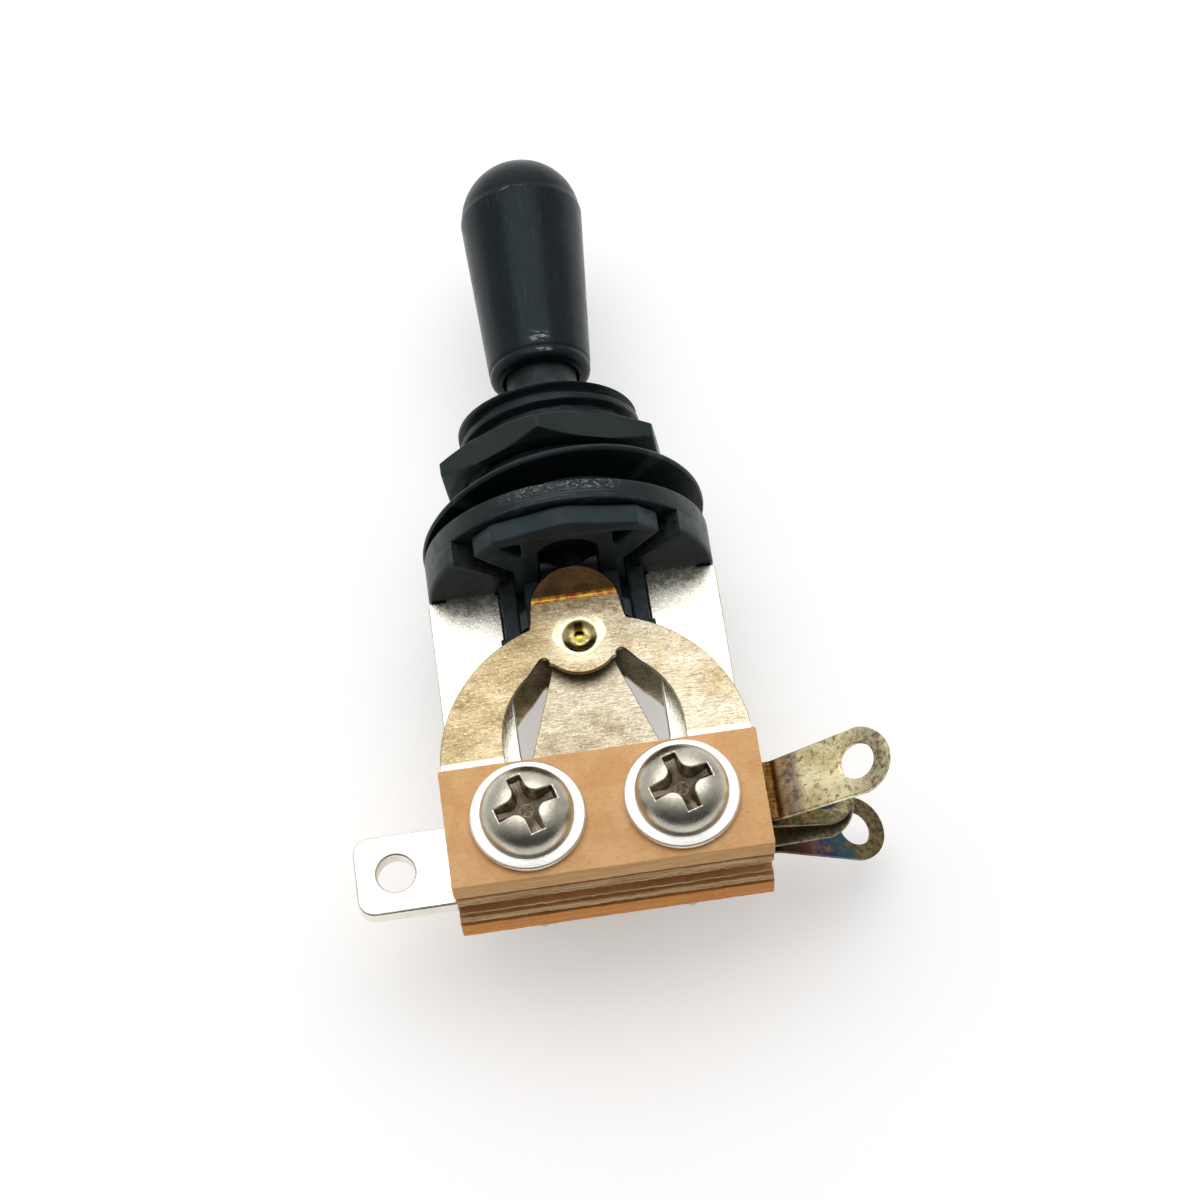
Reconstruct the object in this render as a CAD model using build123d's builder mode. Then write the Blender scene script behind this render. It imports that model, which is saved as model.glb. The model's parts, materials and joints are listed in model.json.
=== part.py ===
from build123d import *
from math import cos, radians, sin
import os

# Three-way leaf-contact toggle selector switch, all lengths in millimetres.
# Origin: bushing axis at the flange face that meets the panel.
# +Y runs out along the lever, +Z is normal to the contact leaves, +X is the side of the contact lugs.
# FRONT (+1) and REAR (-1) name the two mirrored halves of the contact stack.
FRONT = 1
REAR = -1

# Threaded bushing and flange
THREAD_R = 6.0
THREAD_PITCH = 1.25
THREAD_DEPTH = 0.55
THREAD_START = 2.0
THREAD_GROOVES = 5
GROOVE_HALF = 0.75 * THREAD_PITCH
BUSHING_TOP = 9.2
BUSHING_CHAMFER = 0.5
BORE_TOP_R = 4.4
BORE_LOW_R = 2.9
FLANGE_R = 9.25
FLANGE_T = 2.97
WEB_T = 1.5
SLOT_WAIST_X = 4.0
SLOT_WAIST_Z = 2.5
SLOT_MOUTH_X = 7.2
SLOT_MOUTH_Z = 5.8
EDGE_ROUND = 0.3
CUT_SPARE = 1.0

# Stems that carry the frame plate inside its window
STEM_IN = 3.6
STEM_OUT = 4.62
STEM_HALF_Z = 1.6
STEM_LOW = -7.4
HOOK_OUT = 4.95
HOOK_H = 0.8
HOOK_T = 0.55
HOOK_INSET = 0.3

# Hex nut and panel washer
NUT_AF = 14.0
NUT_LOW = 4.2
NUT_T = 1.8
NUT_TURN = 5.7
NUT_CHAMFER_R = 7.2
NUT_CORNER_R = 8.2
NUT_CHAMFER_H = 0.4
NUT_CLEARANCE = 0.06
WASHER_OUT = 9.3
WASHER_IN = 6.4
WASHER_T = 0.4
WASHER_MID = 1.05
WASHER_LIFT_FRONT = 4.2
WASHER_LIFT_RIGHT = 2.6

# Lever, knob and pivot
PIVOT_Y = -3.0
PIN_R = 0.8
PIN_HALF = 3.05
PIN_RUNNING = 0.05
PIN_SNUG = 0.02
PIN_CHAMFER = 0.15
HUB_R = 1.8
HUB_HALF = 1.85
SHAFT_R = 1.8
NECK_R = 2.35
NECK_LOW = 10.8
NECK_TOP = 13.3
NECK_TAPER = 0.6
LEVER_TOP = 24.0
CAM_HALF_X = 1.6
CAM_HALF_Z = 1.9
CAM_WAIST_Z = 1.3
CAM_SHOULDER = -5.1
CAM_LOW = -5.9
CAM_ROUND = 0.4
KNOB_LOW = 12.5
KNOB_TOP = 29.75
KNOB_LOW_R = 3.4
KNOB_WIDE_R = 4.15
KNOB_WIDE_Y = 25.6
KNOB_CREASE_R = 3.98
KNOB_CREASE_Y = 25.95
KNOB_LIP_R = 2.65
KNOB_LIP_DEPTH = 0.9
KNOB_BORE_R = 1.83
KNOB_ROUND = 0.45
KNOB_BORE_SPARE = 0.3

# Lever retainer: a bow-tie plate with two cheeks that hold the pivot pin
RETAINER_TOP = -1.6
RETAINER_LOW = -3.0
RETAINER_R = 9.1
RETAINER_WAIST_X = 3.1
RETAINER_WAIST_Z = 2.5
RETAINER_WING_X = 5.95
RETAINER_WING_Z = 6.2
RETAINER_SLOT_HALF = 1.95
RETAINER_SLOT_END = 6.7
CHEEK_HALF_Z = 1.5
CHEEK_LOW = -6.6
POCKET_DEPTH = 0.8
POCKET_CORNERS = [(2.9, 4.8), (4.4, 6.7), (2.9, 7.0)]

# Contact stack: outline and screw places
STACK_HALF = 9.87
STACK_TOP = -16.28
STACK_LOW = -24.02
SCREW_X = 4.75
SCREW_Y = -20.1
INNER_HOLE_R = 2.15
OUTER_HOLE_R = 1.65

# Contact stack: layer faces, as distances from the middle plane
FRAME_FACE = 0.6
TONGUE_NEAR = 0.9
TONGUE_FAR = 1.2
LEAF_NEAR = 2.05
LEAF_FAR = 2.4
BOARD_FAR = 4.24

# How far the inner boards stand back from the outer ones
THIN_INSET = 0.12
THIN_RISE = 0.15
SPACER_INSET = 0.05
SPACER_DROP = 0.1

# Frame plate
FRAME_HALF = 9.1
FRAME_SHOULDER = -3.0
FRAME_LOW = -22.8
EAR_IN = 4.9
EAR_OUT = 8.2
EAR_TOP = -1.5
EAR_PLAY = 0.1
WINDOW_HALF = 4.7
WINDOW_LOW = -15.8
WINDOW_ROUND = 1.5
TAB_TIP = -15.9
TAB_ROOT = -7.3
TAB_TOP = -18.45
TAB_LOW = -23.65
TAB_ROUND = 1.1
TAB_HOLE_X = -13.35
TAB_HOLE_R = 1.2

# Outer contact leaves
LEAF_R = 9.78
LEAF_CENTRE_Y = -15.99
LEAF_FOOT = -15.3
LEAF_SPLIT = 0.05
LEAF_LOW = -23.2
LEAF_WINDOW_R = 5.7
LEAF_WINDOW_Y = -14.4
LEAF_WINDOW_LOW = -17.2
LOBE_R = 2.55
CONTACT_Y = -7.63
TIP_ROOT_HALF = 3.1
TIP_BEND_HALF = 2.75
TIP_BEND_Y = -4.7
TIP_FLARE = 35.0
TIP_CAP_R = 2.92
TIP_CAP_H = 1.95

# Inner contact tongues
TONGUE_ROOT_HALF = 4.1
TONGUE_ROOT_Y = -15.3
TONGUE_TIP_R = 1.5
TONGUE_TIP_Y = -7.95
TONGUE_SHOULDER = -16.4

# Contact rivets
RIVET_R = 0.6
RIVET_HEAD_R = 1.1
RIVET_HEAD_H = 0.26
RIVET_FLAT = 0.6
RIVET_EDGE = 0.33
RING_OUT = 1.3
RING_IN = 0.8
RING_H = 0.25
TONGUE_RIVET_HEAD_H = 0.25
TONGUE_RIVET_TAIL = 0.1

# Solder lugs: plan half-widths about each lug's own centre line
LUG_ROOT_HALF = 1.9
LUG_ROOT_DEPTH = 1.0
LUG_END_R = 2.15
LUG_HOLE_R = 1.15
FRONT_LUG_Y = -19.85
REAR_LUG_Y = -20.3
OUTER_LUG_BEND_X = 10.5
OUTER_LUG_REACH = 5.85
OUTER_LUG_FLARE = 29.0
INNER_LUG_BEND_X = 10.3
INNER_LUG_REACH = 3.2
FRONT_INNER_LUG_TURN = 6.0
REAR_INNER_LUG_TURN = 13.0

# Clamp hardware, M3
SCREW_R = 1.5
HEAD_R = 2.9
HEAD_H = 2.1
HEAD_RIM = 0.9
HEAD_WASHER_R = 3.57
HEAD_WASHER_T = 0.5
HARDWARE_BORE = 1.56
SCREW_TIP = -7.6
SCREW_POINT = 0.3
RECESS_SPAN = 3.3
RECESS_W = 0.85
RECESS_DEPTH = 1.2
RECESS_TURN = 20.0
SMALL_NUT_AF = 5.5
SMALL_NUT_T = 2.3
SLEEVE_OUT = 2.05
SLEEVE_IN = 1.55
SLEEVE_HALF = 2.35

SCREW_SIDES = {"left": -SCREW_X, "right": SCREW_X}
HALVES = {"front": FRONT, "rear": REAR}

os.makedirs("parts", exist_ok=True)


def save(part, name):
    """Labels a finished piece and writes it to its own STEP file."""
    part.label = name
    export_step(part, f"parts/{name}.step")


def low_face(side, near, far):
    """Lower z of a layer that lies between two distances from the middle plane."""
    return min(side * near, side * far)


def mid_face(side, near, far):
    """Middle z of such a layer."""
    return side * (near + far) / 2


def screw_holes(radius):
    """Removes the two clamp screw holes from the sketch being made."""
    with Locations((-SCREW_X, SCREW_Y), (SCREW_X, SCREW_Y)):
        Circle(radius, mode=Mode.SUBTRACT)


def bow_tie(waist_x, waist_z, wing_x, wing_z, reach):
    """Corner points of a bow-tie plan, wide at both ends of z."""
    quarter = [(waist_x, waist_z), (wing_x, wing_z), (wing_x, reach)]
    top = quarter + [(-x, z) for x, z in reversed(quarter)]
    return top + [(-x, -z) for x, z in top]


def dome_middle(radius, low, top):
    """A point halfway up the arc that crowns a turned shape, with its centre on the axis."""
    rise = top - low
    arc_r = (radius**2 + rise**2) / (2 * rise)
    middle_r = radius / 2
    return middle_r, top - arc_r + (arc_r**2 - middle_r**2) ** 0.5


# --- Bushing body ------------------------------------------------------------------------------
with BuildPart() as bushing_body:
    with BuildSketch(Plane.XY):
        with BuildLine():
            Polyline(
                (0, -FLANGE_T),
                (FLANGE_R - EDGE_ROUND, -FLANGE_T),
                (FLANGE_R, -FLANGE_T + EDGE_ROUND),
                (FLANGE_R, -EDGE_ROUND),
                (FLANGE_R - EDGE_ROUND, 0),
                (THREAD_R, 0),
                (THREAD_R, BUSHING_TOP - BUSHING_CHAMFER),
                (THREAD_R - BUSHING_CHAMFER, BUSHING_TOP),
                (0, BUSHING_TOP),
                close=True,
            )
        make_face()
    revolve(axis=Axis.Y)

    # Ring grooves stand for the thread and leave its full crest diameter between them.
    with BuildSketch(Plane.XY):
        for groove in range(THREAD_GROOVES):
            middle = THREAD_START + (groove + 0.5) * THREAD_PITCH
            with BuildLine():
                Polyline(
                    (THREAD_R + THREAD_DEPTH, middle - GROOVE_HALF),
                    (THREAD_R - THREAD_DEPTH, middle),
                    (THREAD_R + THREAD_DEPTH, middle + GROOVE_HALF),
                    close=True,
                )
            make_face()
    revolve(axis=Axis.Y, mode=Mode.SUBTRACT)

    # Slot across the underside of the flange, open at its front and rear.
    with BuildSketch(Plane.XZ.offset(WEB_T)):
        with BuildLine():
            Polyline(
                *bow_tie(SLOT_WAIST_X, SLOT_WAIST_Z, SLOT_MOUTH_X, SLOT_MOUTH_Z, FLANGE_R + CUT_SPARE),
                close=True,
            )
        make_face()
    extrude(amount=FLANGE_T, mode=Mode.SUBTRACT)

    # Stems either side of the lever, each with hooks over both faces of the frame plate.
    with BuildSketch(Plane.XZ.offset(WEB_T)):
        with Locations(((STEM_IN + STEM_OUT) / 2, 0), (-(STEM_IN + STEM_OUT) / 2, 0)):
            Rectangle(STEM_OUT - STEM_IN, 2 * STEM_HALF_Z)
    extrude(amount=-STEM_LOW - WEB_T)
    hook_z = STEM_HALF_Z - HOOK_T / 2 - HOOK_INSET
    with BuildSketch(Plane.XZ.offset(-STEM_LOW - HOOK_H)):
        for direction in (-1, 1):
            with Locations((direction * (STEM_OUT + HOOK_OUT) / 2, hook_z),
                           (direction * (STEM_OUT + HOOK_OUT) / 2, -hook_z)):
                Rectangle(HOOK_OUT - STEM_OUT, HOOK_T)
    extrude(amount=HOOK_H)

    # Pockets for the ears of the frame plate.
    with BuildSketch(Plane.XZ.offset(-EAR_TOP - EAR_PLAY)):
        with Locations(((EAR_IN + EAR_OUT) / 2, 0), (-(EAR_IN + EAR_OUT) / 2, 0)):
            Rectangle(EAR_OUT - EAR_IN + 2 * EAR_PLAY, 2 * FRAME_FACE + EAR_PLAY)
    extrude(amount=FLANGE_T, mode=Mode.SUBTRACT)

    # Tapered bore that gives the lever room to rock.
    with BuildSketch(Plane.XY):
        with BuildLine():
            Polyline(
                (0, -WEB_T - CUT_SPARE),
                (BORE_LOW_R, -WEB_T - CUT_SPARE),
                (BORE_LOW_R, 0),
                (BORE_TOP_R, BUSHING_TOP),
                (BORE_TOP_R, BUSHING_TOP + CUT_SPARE),
                (0, BUSHING_TOP + CUT_SPARE),
                close=True,
            )
        make_face()
    revolve(axis=Axis.Y, mode=Mode.SUBTRACT)
save(bushing_body.part, "bushing_body")

# --- Hex nut -----------------------------------------------------------------------------------
with BuildPart() as hex_nut:
    with BuildSketch(Plane.XZ.offset(-NUT_LOW - NUT_T)):
        RegularPolygon(NUT_AF / 2, 6, major_radius=False, rotation=30 + NUT_TURN)
        Circle(THREAD_R + NUT_CLEARANCE, mode=Mode.SUBTRACT)
    extrude(amount=NUT_T)
    with BuildSketch(Plane.XY):
        with BuildLine():
            Polyline(
                (0, NUT_LOW),
                (NUT_CHAMFER_R, NUT_LOW),
                (NUT_CORNER_R, NUT_LOW + NUT_CHAMFER_H),
                (NUT_CORNER_R, NUT_LOW + NUT_T - NUT_CHAMFER_H),
                (NUT_CHAMFER_R, NUT_LOW + NUT_T),
                (0, NUT_LOW + NUT_T),
                close=True,
            )
        make_face()
    revolve(axis=Axis.Y, mode=Mode.INTERSECT)
save(hex_nut.part, "hex_nut")

# --- Panel washer, lying loose and tilted on the flange --------------------------------------------
washer_plane = Plane(
    origin=(0, WASHER_MID, 0),
    x_dir=(cos(radians(WASHER_LIFT_RIGHT)), sin(radians(WASHER_LIFT_RIGHT)), 0),
    z_dir=(
        -sin(radians(WASHER_LIFT_RIGHT)),
        cos(radians(WASHER_LIFT_RIGHT)) * cos(radians(WASHER_LIFT_FRONT)),
        -sin(radians(WASHER_LIFT_FRONT)),
    ),
)
with BuildPart() as panel_washer:
    with BuildSketch(washer_plane):
        Circle(WASHER_OUT)
        Circle(WASHER_IN, mode=Mode.SUBTRACT)
    extrude(amount=WASHER_T / 2, both=True)
save(panel_washer.part, "panel_washer")

# --- Lever -------------------------------------------------------------------------------------
with BuildPart() as lever:
    with BuildSketch(Plane.XY):
        with BuildLine():
            Polyline(
                (0, PIVOT_Y),
                (SHAFT_R, PIVOT_Y),
                (SHAFT_R, NECK_LOW - NECK_TAPER),
                (NECK_R, NECK_LOW),
                (NECK_R, NECK_TOP),
                (SHAFT_R, NECK_TOP),
                (SHAFT_R, LEVER_TOP),
                (0, LEVER_TOP),
                close=True,
            )
        make_face()
    revolve(axis=Axis.Y)
    with BuildSketch(Plane.YZ):
        with Locations((PIVOT_Y, 0)):
            Circle(HUB_R)
    extrude(amount=HUB_HALF, both=True)
    # The cam below the hub widens towards the leaf tips that it pushes.
    with BuildSketch(Plane.YZ):
        with BuildLine():
            Polyline(
                (PIVOT_Y, -CAM_WAIST_Z),
                (PIVOT_Y, CAM_WAIST_Z),
                (CAM_SHOULDER, CAM_HALF_Z),
                (CAM_LOW, CAM_HALF_Z),
                (CAM_LOW, -CAM_HALF_Z),
                (CAM_SHOULDER, -CAM_HALF_Z),
                close=True,
            )
        cam_face = make_face()
        fillet(cam_face.vertices().group_by(Axis.X)[0], CAM_ROUND)
    extrude(amount=CAM_HALF_X, both=True)
    with BuildSketch(Plane.YZ):
        with Locations((PIVOT_Y, 0)):
            Circle(PIN_R + PIN_RUNNING)
    extrude(amount=2 * HUB_HALF, both=True, mode=Mode.SUBTRACT)
save(lever.part, "lever")

# --- Knob --------------------------------------------------------------------------------------
with BuildPart() as lever_knob:
    with BuildSketch(Plane.XY):
        with BuildLine():
            outline = Polyline(
                (0, KNOB_LOW),
                (KNOB_LOW_R, KNOB_LOW),
                (KNOB_WIDE_R, KNOB_WIDE_Y),
                (KNOB_CREASE_R, KNOB_CREASE_Y),
            )
            dome = ThreePointArc(
                (KNOB_CREASE_R, KNOB_CREASE_Y),
                dome_middle(KNOB_CREASE_R, KNOB_CREASE_Y, KNOB_TOP),
                (0, KNOB_TOP),
            )
            Line(dome @ 1, outline @ 0)
        make_face()
    revolve(axis=Axis.Y)
    fillet(lever_knob.edges().filter_by(GeomType.CIRCLE).sort_by(Axis.Y)[0], KNOB_ROUND)
    with BuildSketch(Plane.XZ.offset(-KNOB_LOW - KNOB_LIP_DEPTH)):
        Circle(KNOB_LIP_R)
    extrude(amount=2 * KNOB_LIP_DEPTH, mode=Mode.SUBTRACT)
    with BuildSketch(Plane.XZ.offset(-LEVER_TOP - KNOB_BORE_SPARE)):
        Circle(KNOB_BORE_R)
    extrude(amount=LEVER_TOP - KNOB_LOW, mode=Mode.SUBTRACT)
save(lever_knob.part, "lever_knob")

# --- Pivot pin ---------------------------------------------------------------------------------
with BuildPart() as pivot_pin:
    with BuildSketch(Plane.YZ):
        with Locations((PIVOT_Y, 0)):
            Circle(PIN_R)
    extrude(amount=PIN_HALF, both=True)
    chamfer(pivot_pin.edges().filter_by(GeomType.CIRCLE), PIN_CHAMFER)
save(pivot_pin.part, "pivot_pin")

# --- Lever retainer ----------------------------------------------------------------------------
with BuildPart() as lever_retainer:
    with BuildSketch(Plane.XZ.offset(-RETAINER_TOP)):
        with BuildLine():
            Polyline(
                *bow_tie(
                    RETAINER_WAIST_X, RETAINER_WAIST_Z, RETAINER_WING_X, RETAINER_WING_Z, RETAINER_R
                ),
                close=True,
            )
        make_face()
        Circle(RETAINER_R, mode=Mode.INTERSECT)
    extrude(amount=RETAINER_TOP - RETAINER_LOW)
    cheek_x = (RETAINER_SLOT_HALF + RETAINER_WAIST_X) / 2
    with BuildSketch(Plane.XZ.offset(-RETAINER_LOW)):
        with Locations((cheek_x, 0), (-cheek_x, 0)):
            Rectangle(RETAINER_WAIST_X - RETAINER_SLOT_HALF, 2 * CHEEK_HALF_Z)
    extrude(amount=RETAINER_LOW - CHEEK_LOW)
    with BuildSketch(Plane.XZ.offset(-RETAINER_TOP - CUT_SPARE)):
        SlotOverall(2 * RETAINER_SLOT_END, 2 * RETAINER_SLOT_HALF, rotation=90)
    extrude(amount=-CHEEK_LOW, mode=Mode.SUBTRACT)
    # Moulding pockets in the corners of each wing.
    with BuildSketch(Plane.XZ.offset(-RETAINER_LOW - POCKET_DEPTH)):
        for turn_x in (-1, 1):
            for turn_z in (-1, 1):
                with BuildLine():
                    Polyline(*[(turn_x * x, turn_z * z) for x, z in POCKET_CORNERS], close=True)
                make_face()
    extrude(amount=2 * POCKET_DEPTH, mode=Mode.SUBTRACT)
    with BuildSketch(Plane.YZ):
        with Locations((PIVOT_Y, 0)):
            Circle(PIN_R + PIN_SNUG)
    extrude(amount=2 * RETAINER_WAIST_X, both=True, mode=Mode.SUBTRACT)
save(lever_retainer.part, "lever_retainer")

# --- Frame plate with the ground tab --------------------------------------------------------------
with BuildPart() as frame_plate:
    with BuildSketch(Plane.XY.offset(-FRAME_FACE)):
        with Locations((0, (FRAME_SHOULDER + FRAME_LOW) / 2)):
            Rectangle(2 * FRAME_HALF, FRAME_SHOULDER - FRAME_LOW)
        ear_middle = (EAR_TOP + FRAME_SHOULDER - CUT_SPARE) / 2
        with Locations(((EAR_IN + EAR_OUT) / 2, ear_middle), (-(EAR_IN + EAR_OUT) / 2, ear_middle)):
            Rectangle(EAR_OUT - EAR_IN, EAR_TOP - FRAME_SHOULDER + CUT_SPARE)
        with Locations((0, WINDOW_LOW + FRAME_HALF)):
            RectangleRounded(2 * WINDOW_HALF, 2 * FRAME_HALF, WINDOW_ROUND, mode=Mode.SUBTRACT)
        screw_holes(INNER_HOLE_R)
    extrude(amount=2 * FRAME_FACE)
    with BuildSketch(Plane.XY.offset(-FRAME_FACE)):
        with Locations(((TAB_TIP + TAB_ROOT) / 2, (TAB_TOP + TAB_LOW) / 2)):
            ground_tab = Rectangle(TAB_ROOT - TAB_TIP, TAB_TOP - TAB_LOW)
        fillet(ground_tab.vertices().group_by(Axis.X)[0], TAB_ROUND)
        with Locations((TAB_HOLE_X, (TAB_TOP + TAB_LOW) / 2)):
            Circle(TAB_HOLE_R, mode=Mode.SUBTRACT)
    extrude(amount=2 * FRAME_FACE)
save(frame_plate.part, "frame_plate")


# --- Solder lugs -------------------------------------------------------------------------------
def solder_lug(side, middle_z, thickness, bend_x, lug_y, reach, turn):
    """A lug that leaves the stack flat and is then bent by turn, away from the middle plane."""
    root_x = STACK_HALF - LUG_ROOT_DEPTH
    blade_plane = Plane(
        origin=(bend_x, lug_y, middle_z),
        x_dir=(cos(radians(turn)), 0, side * sin(radians(turn))),
        z_dir=(-side * sin(radians(turn)), 0, cos(radians(turn))),
    )
    with BuildPart() as lug:
        with BuildSketch(Plane.XY.offset(middle_z)):
            with Locations(((root_x + bend_x) / 2, lug_y)):
                Rectangle(bend_x - root_x, 2 * LUG_ROOT_HALF)
        extrude(amount=thickness / 2, both=True)
        with BuildSketch(blade_plane):
            with BuildLine():
                Polyline(
                    (0, -LUG_ROOT_HALF),
                    (0, LUG_ROOT_HALF),
                    (reach, LUG_END_R),
                    (reach, -LUG_END_R),
                    close=True,
                )
            make_face()
            with Locations((reach, 0)):
                Circle(LUG_END_R)
                Circle(LUG_HOLE_R, mode=Mode.SUBTRACT)
        extrude(amount=thickness / 2, both=True)
        with BuildSketch(Plane(origin=(bend_x, lug_y, middle_z), x_dir=(1, 0, 0), z_dir=(0, 1, 0))):
            Circle(thickness / 2)
        extrude(amount=LUG_ROOT_HALF, both=True)
    return lug.part


def outer_terminal(side, lug_y):
    """The clamped part of an outer leaf, with its solder lug."""
    thickness = LEAF_FAR - LEAF_NEAR
    foot = LEAF_FOOT - LEAF_SPLIT
    lug = solder_lug(
        side,
        mid_face(side, LEAF_NEAR, LEAF_FAR),
        thickness,
        OUTER_LUG_BEND_X,
        lug_y,
        OUTER_LUG_REACH,
        OUTER_LUG_FLARE,
    )
    with BuildPart() as terminal:
        with BuildSketch(Plane.XY.offset(low_face(side, LEAF_NEAR, LEAF_FAR))):
            with Locations((0, (foot + LEAF_LOW) / 2)):
                Rectangle(2 * LEAF_R, foot - LEAF_LOW)
            with Locations((0, LEAF_WINDOW_LOW + LEAF_WINDOW_R)):
                RectangleRounded(2 * LEAF_WINDOW_R, 2 * LEAF_WINDOW_R, WINDOW_ROUND, mode=Mode.SUBTRACT)
            screw_holes(INNER_HOLE_R)
        extrude(amount=thickness)
        add(lug)
    return terminal.part


# --- Outer leaves, the part that flexes -----------------------------------------------------------
def outer_leaf(side):
    """Arched spring leaf with its window, contact hole and flared tip."""
    thickness = LEAF_FAR - LEAF_NEAR
    middle_z = mid_face(side, LEAF_NEAR, LEAF_FAR)
    tip_root_y = LEAF_CENTRE_Y + (LEAF_R**2 - TIP_ROOT_HALF**2) ** 0.5
    with BuildPart() as leaf:
        with BuildSketch(Plane.XY.offset(low_face(side, LEAF_NEAR, LEAF_FAR))):
            with Locations((0, LEAF_CENTRE_Y)):
                Circle(LEAF_R)
            with BuildLine():
                Polyline(
                    (-TIP_ROOT_HALF, tip_root_y - CUT_SPARE),
                    (-TIP_ROOT_HALF, tip_root_y),
                    (-TIP_BEND_HALF, TIP_BEND_Y),
                    (TIP_BEND_HALF, TIP_BEND_Y),
                    (TIP_ROOT_HALF, tip_root_y),
                    (TIP_ROOT_HALF, tip_root_y - CUT_SPARE),
                    close=True,
                )
            make_face()
            with Locations((0, LEAF_WINDOW_Y)):
                Circle(LEAF_WINDOW_R, mode=Mode.SUBTRACT)
            with Locations((0, CONTACT_Y)):
                Circle(LOBE_R)
                Circle(RIVET_R, mode=Mode.SUBTRACT)
            with Locations((0, LEAF_FOOT - LEAF_R)):
                Rectangle(2 * LEAF_R, 2 * LEAF_R, mode=Mode.SUBTRACT)
            with Locations((0, (LEAF_FOOT + LEAF_WINDOW_Y) / 2)):
                Rectangle(2 * LEAF_WINDOW_R, LEAF_WINDOW_Y - LEAF_FOOT, mode=Mode.SUBTRACT)
        extrude(amount=thickness)
        tip_plane = Plane(
            origin=(0, TIP_BEND_Y, middle_z),
            x_dir=(1, 0, 0),
            z_dir=(0, -side * sin(radians(TIP_FLARE)), cos(radians(TIP_FLARE))),
        )
        with BuildSketch(tip_plane):
            with Locations((0, TIP_CAP_H - TIP_CAP_R)):
                Circle(TIP_CAP_R)
            with Locations((0, TIP_CAP_R)):
                Rectangle(2 * TIP_CAP_R, 2 * TIP_CAP_R, mode=Mode.INTERSECT)
        extrude(amount=thickness / 2, both=True)
        with BuildSketch(Plane.YZ):
            with Locations((TIP_BEND_Y, middle_z)):
                Circle(thickness / 2)
        extrude(amount=TIP_BEND_HALF, both=True)
    return leaf.part


# --- Inner contact tongues ------------------------------------------------------------------------
def contact_tongue(side, lug_y, turn):
    """Fixed inner contact: a tapering tongue, its clamped strap and its solder lug."""
    thickness = TONGUE_FAR - TONGUE_NEAR
    lug = solder_lug(
        -side,
        mid_face(side, TONGUE_NEAR, TONGUE_FAR),
        thickness,
        INNER_LUG_BEND_X,
        lug_y,
        INNER_LUG_REACH,
        turn,
    )
    with BuildPart() as tongue:
        with BuildSketch(Plane.XY.offset(low_face(side, TONGUE_NEAR, TONGUE_FAR))):
            with Locations((0, (TONGUE_SHOULDER + LEAF_LOW) / 2)):
                Rectangle(2 * LEAF_R, TONGUE_SHOULDER - LEAF_LOW)
            with BuildLine():
                Polyline(
                    (-TONGUE_ROOT_HALF, TONGUE_SHOULDER),
                    (-TONGUE_ROOT_HALF, TONGUE_ROOT_Y),
                    (-TONGUE_TIP_R, TONGUE_TIP_Y),
                    (TONGUE_TIP_R, TONGUE_TIP_Y),
                    (TONGUE_ROOT_HALF, TONGUE_ROOT_Y),
                    (TONGUE_ROOT_HALF, TONGUE_SHOULDER),
                    close=True,
                )
            make_face()
            with Locations((0, TONGUE_TIP_Y)):
                Circle(TONGUE_TIP_R)
            with Locations((0, CONTACT_Y)):
                Circle(RIVET_R, mode=Mode.SUBTRACT)
            screw_holes(INNER_HOLE_R)
        extrude(amount=thickness)
        add(lug)
    return tongue.part


# --- Contact rivets -------------------------------------------------------------------------------
def turned_about_contact(side, profile):
    """A rivet turned about the contact axis from (radius, distance from the middle plane) points."""
    with BuildPart() as rivet:
        with BuildSketch(Plane(origin=(0, CONTACT_Y, 0), x_dir=(1, 0, 0), z_dir=(0, -1, 0))):
            with BuildLine():
                Polyline(*[(radius, side * height) for radius, height in profile], close=True)
            make_face()
        revolve(axis=Axis((0, CONTACT_Y, 0), (0, 0, 1)))
    return rivet.part


LEAF_RIVET_PROFILE = [
    (0, LEAF_NEAR - RIVET_HEAD_H),
    (RIVET_HEAD_R * RIVET_FLAT, LEAF_NEAR - RIVET_HEAD_H),
    (RIVET_HEAD_R, LEAF_NEAR - RIVET_HEAD_H * RIVET_EDGE),
    (RIVET_HEAD_R, LEAF_NEAR),
    (RIVET_R, LEAF_NEAR),
    (RIVET_R, LEAF_FAR),
    (RING_OUT, LEAF_FAR),
    ((RING_OUT + RING_IN) / 2, LEAF_FAR + RING_H),
    (RING_IN, LEAF_FAR + RING_H),
    (RIVET_R * RIVET_FLAT, LEAF_FAR - RING_H),
    (0, LEAF_FAR - RING_H),
]

TONGUE_RIVET_PROFILE = [
    (0, TONGUE_NEAR - TONGUE_RIVET_TAIL),
    (RIVET_R, TONGUE_NEAR - TONGUE_RIVET_TAIL),
    (RIVET_R, TONGUE_FAR),
    (RIVET_HEAD_R, TONGUE_FAR),
    (RIVET_HEAD_R, TONGUE_FAR + TONGUE_RIVET_HEAD_H * RIVET_EDGE),
    (RIVET_HEAD_R * RIVET_FLAT, TONGUE_FAR + TONGUE_RIVET_HEAD_H),
    (0, TONGUE_FAR + TONGUE_RIVET_HEAD_H),
]


# --- Insulating boards ----------------------------------------------------------------------------
def board(side, near, far, half_width, top, low, hole_r):
    """One insulating layer of the stack."""
    with BuildPart() as layer:
        with BuildSketch(Plane.XY.offset(low_face(side, near, far))):
            with Locations((0, (top + low) / 2)):
                Rectangle(2 * half_width, top - low)
            screw_holes(hole_r)
        extrude(amount=far - near)
    return layer.part


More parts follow.
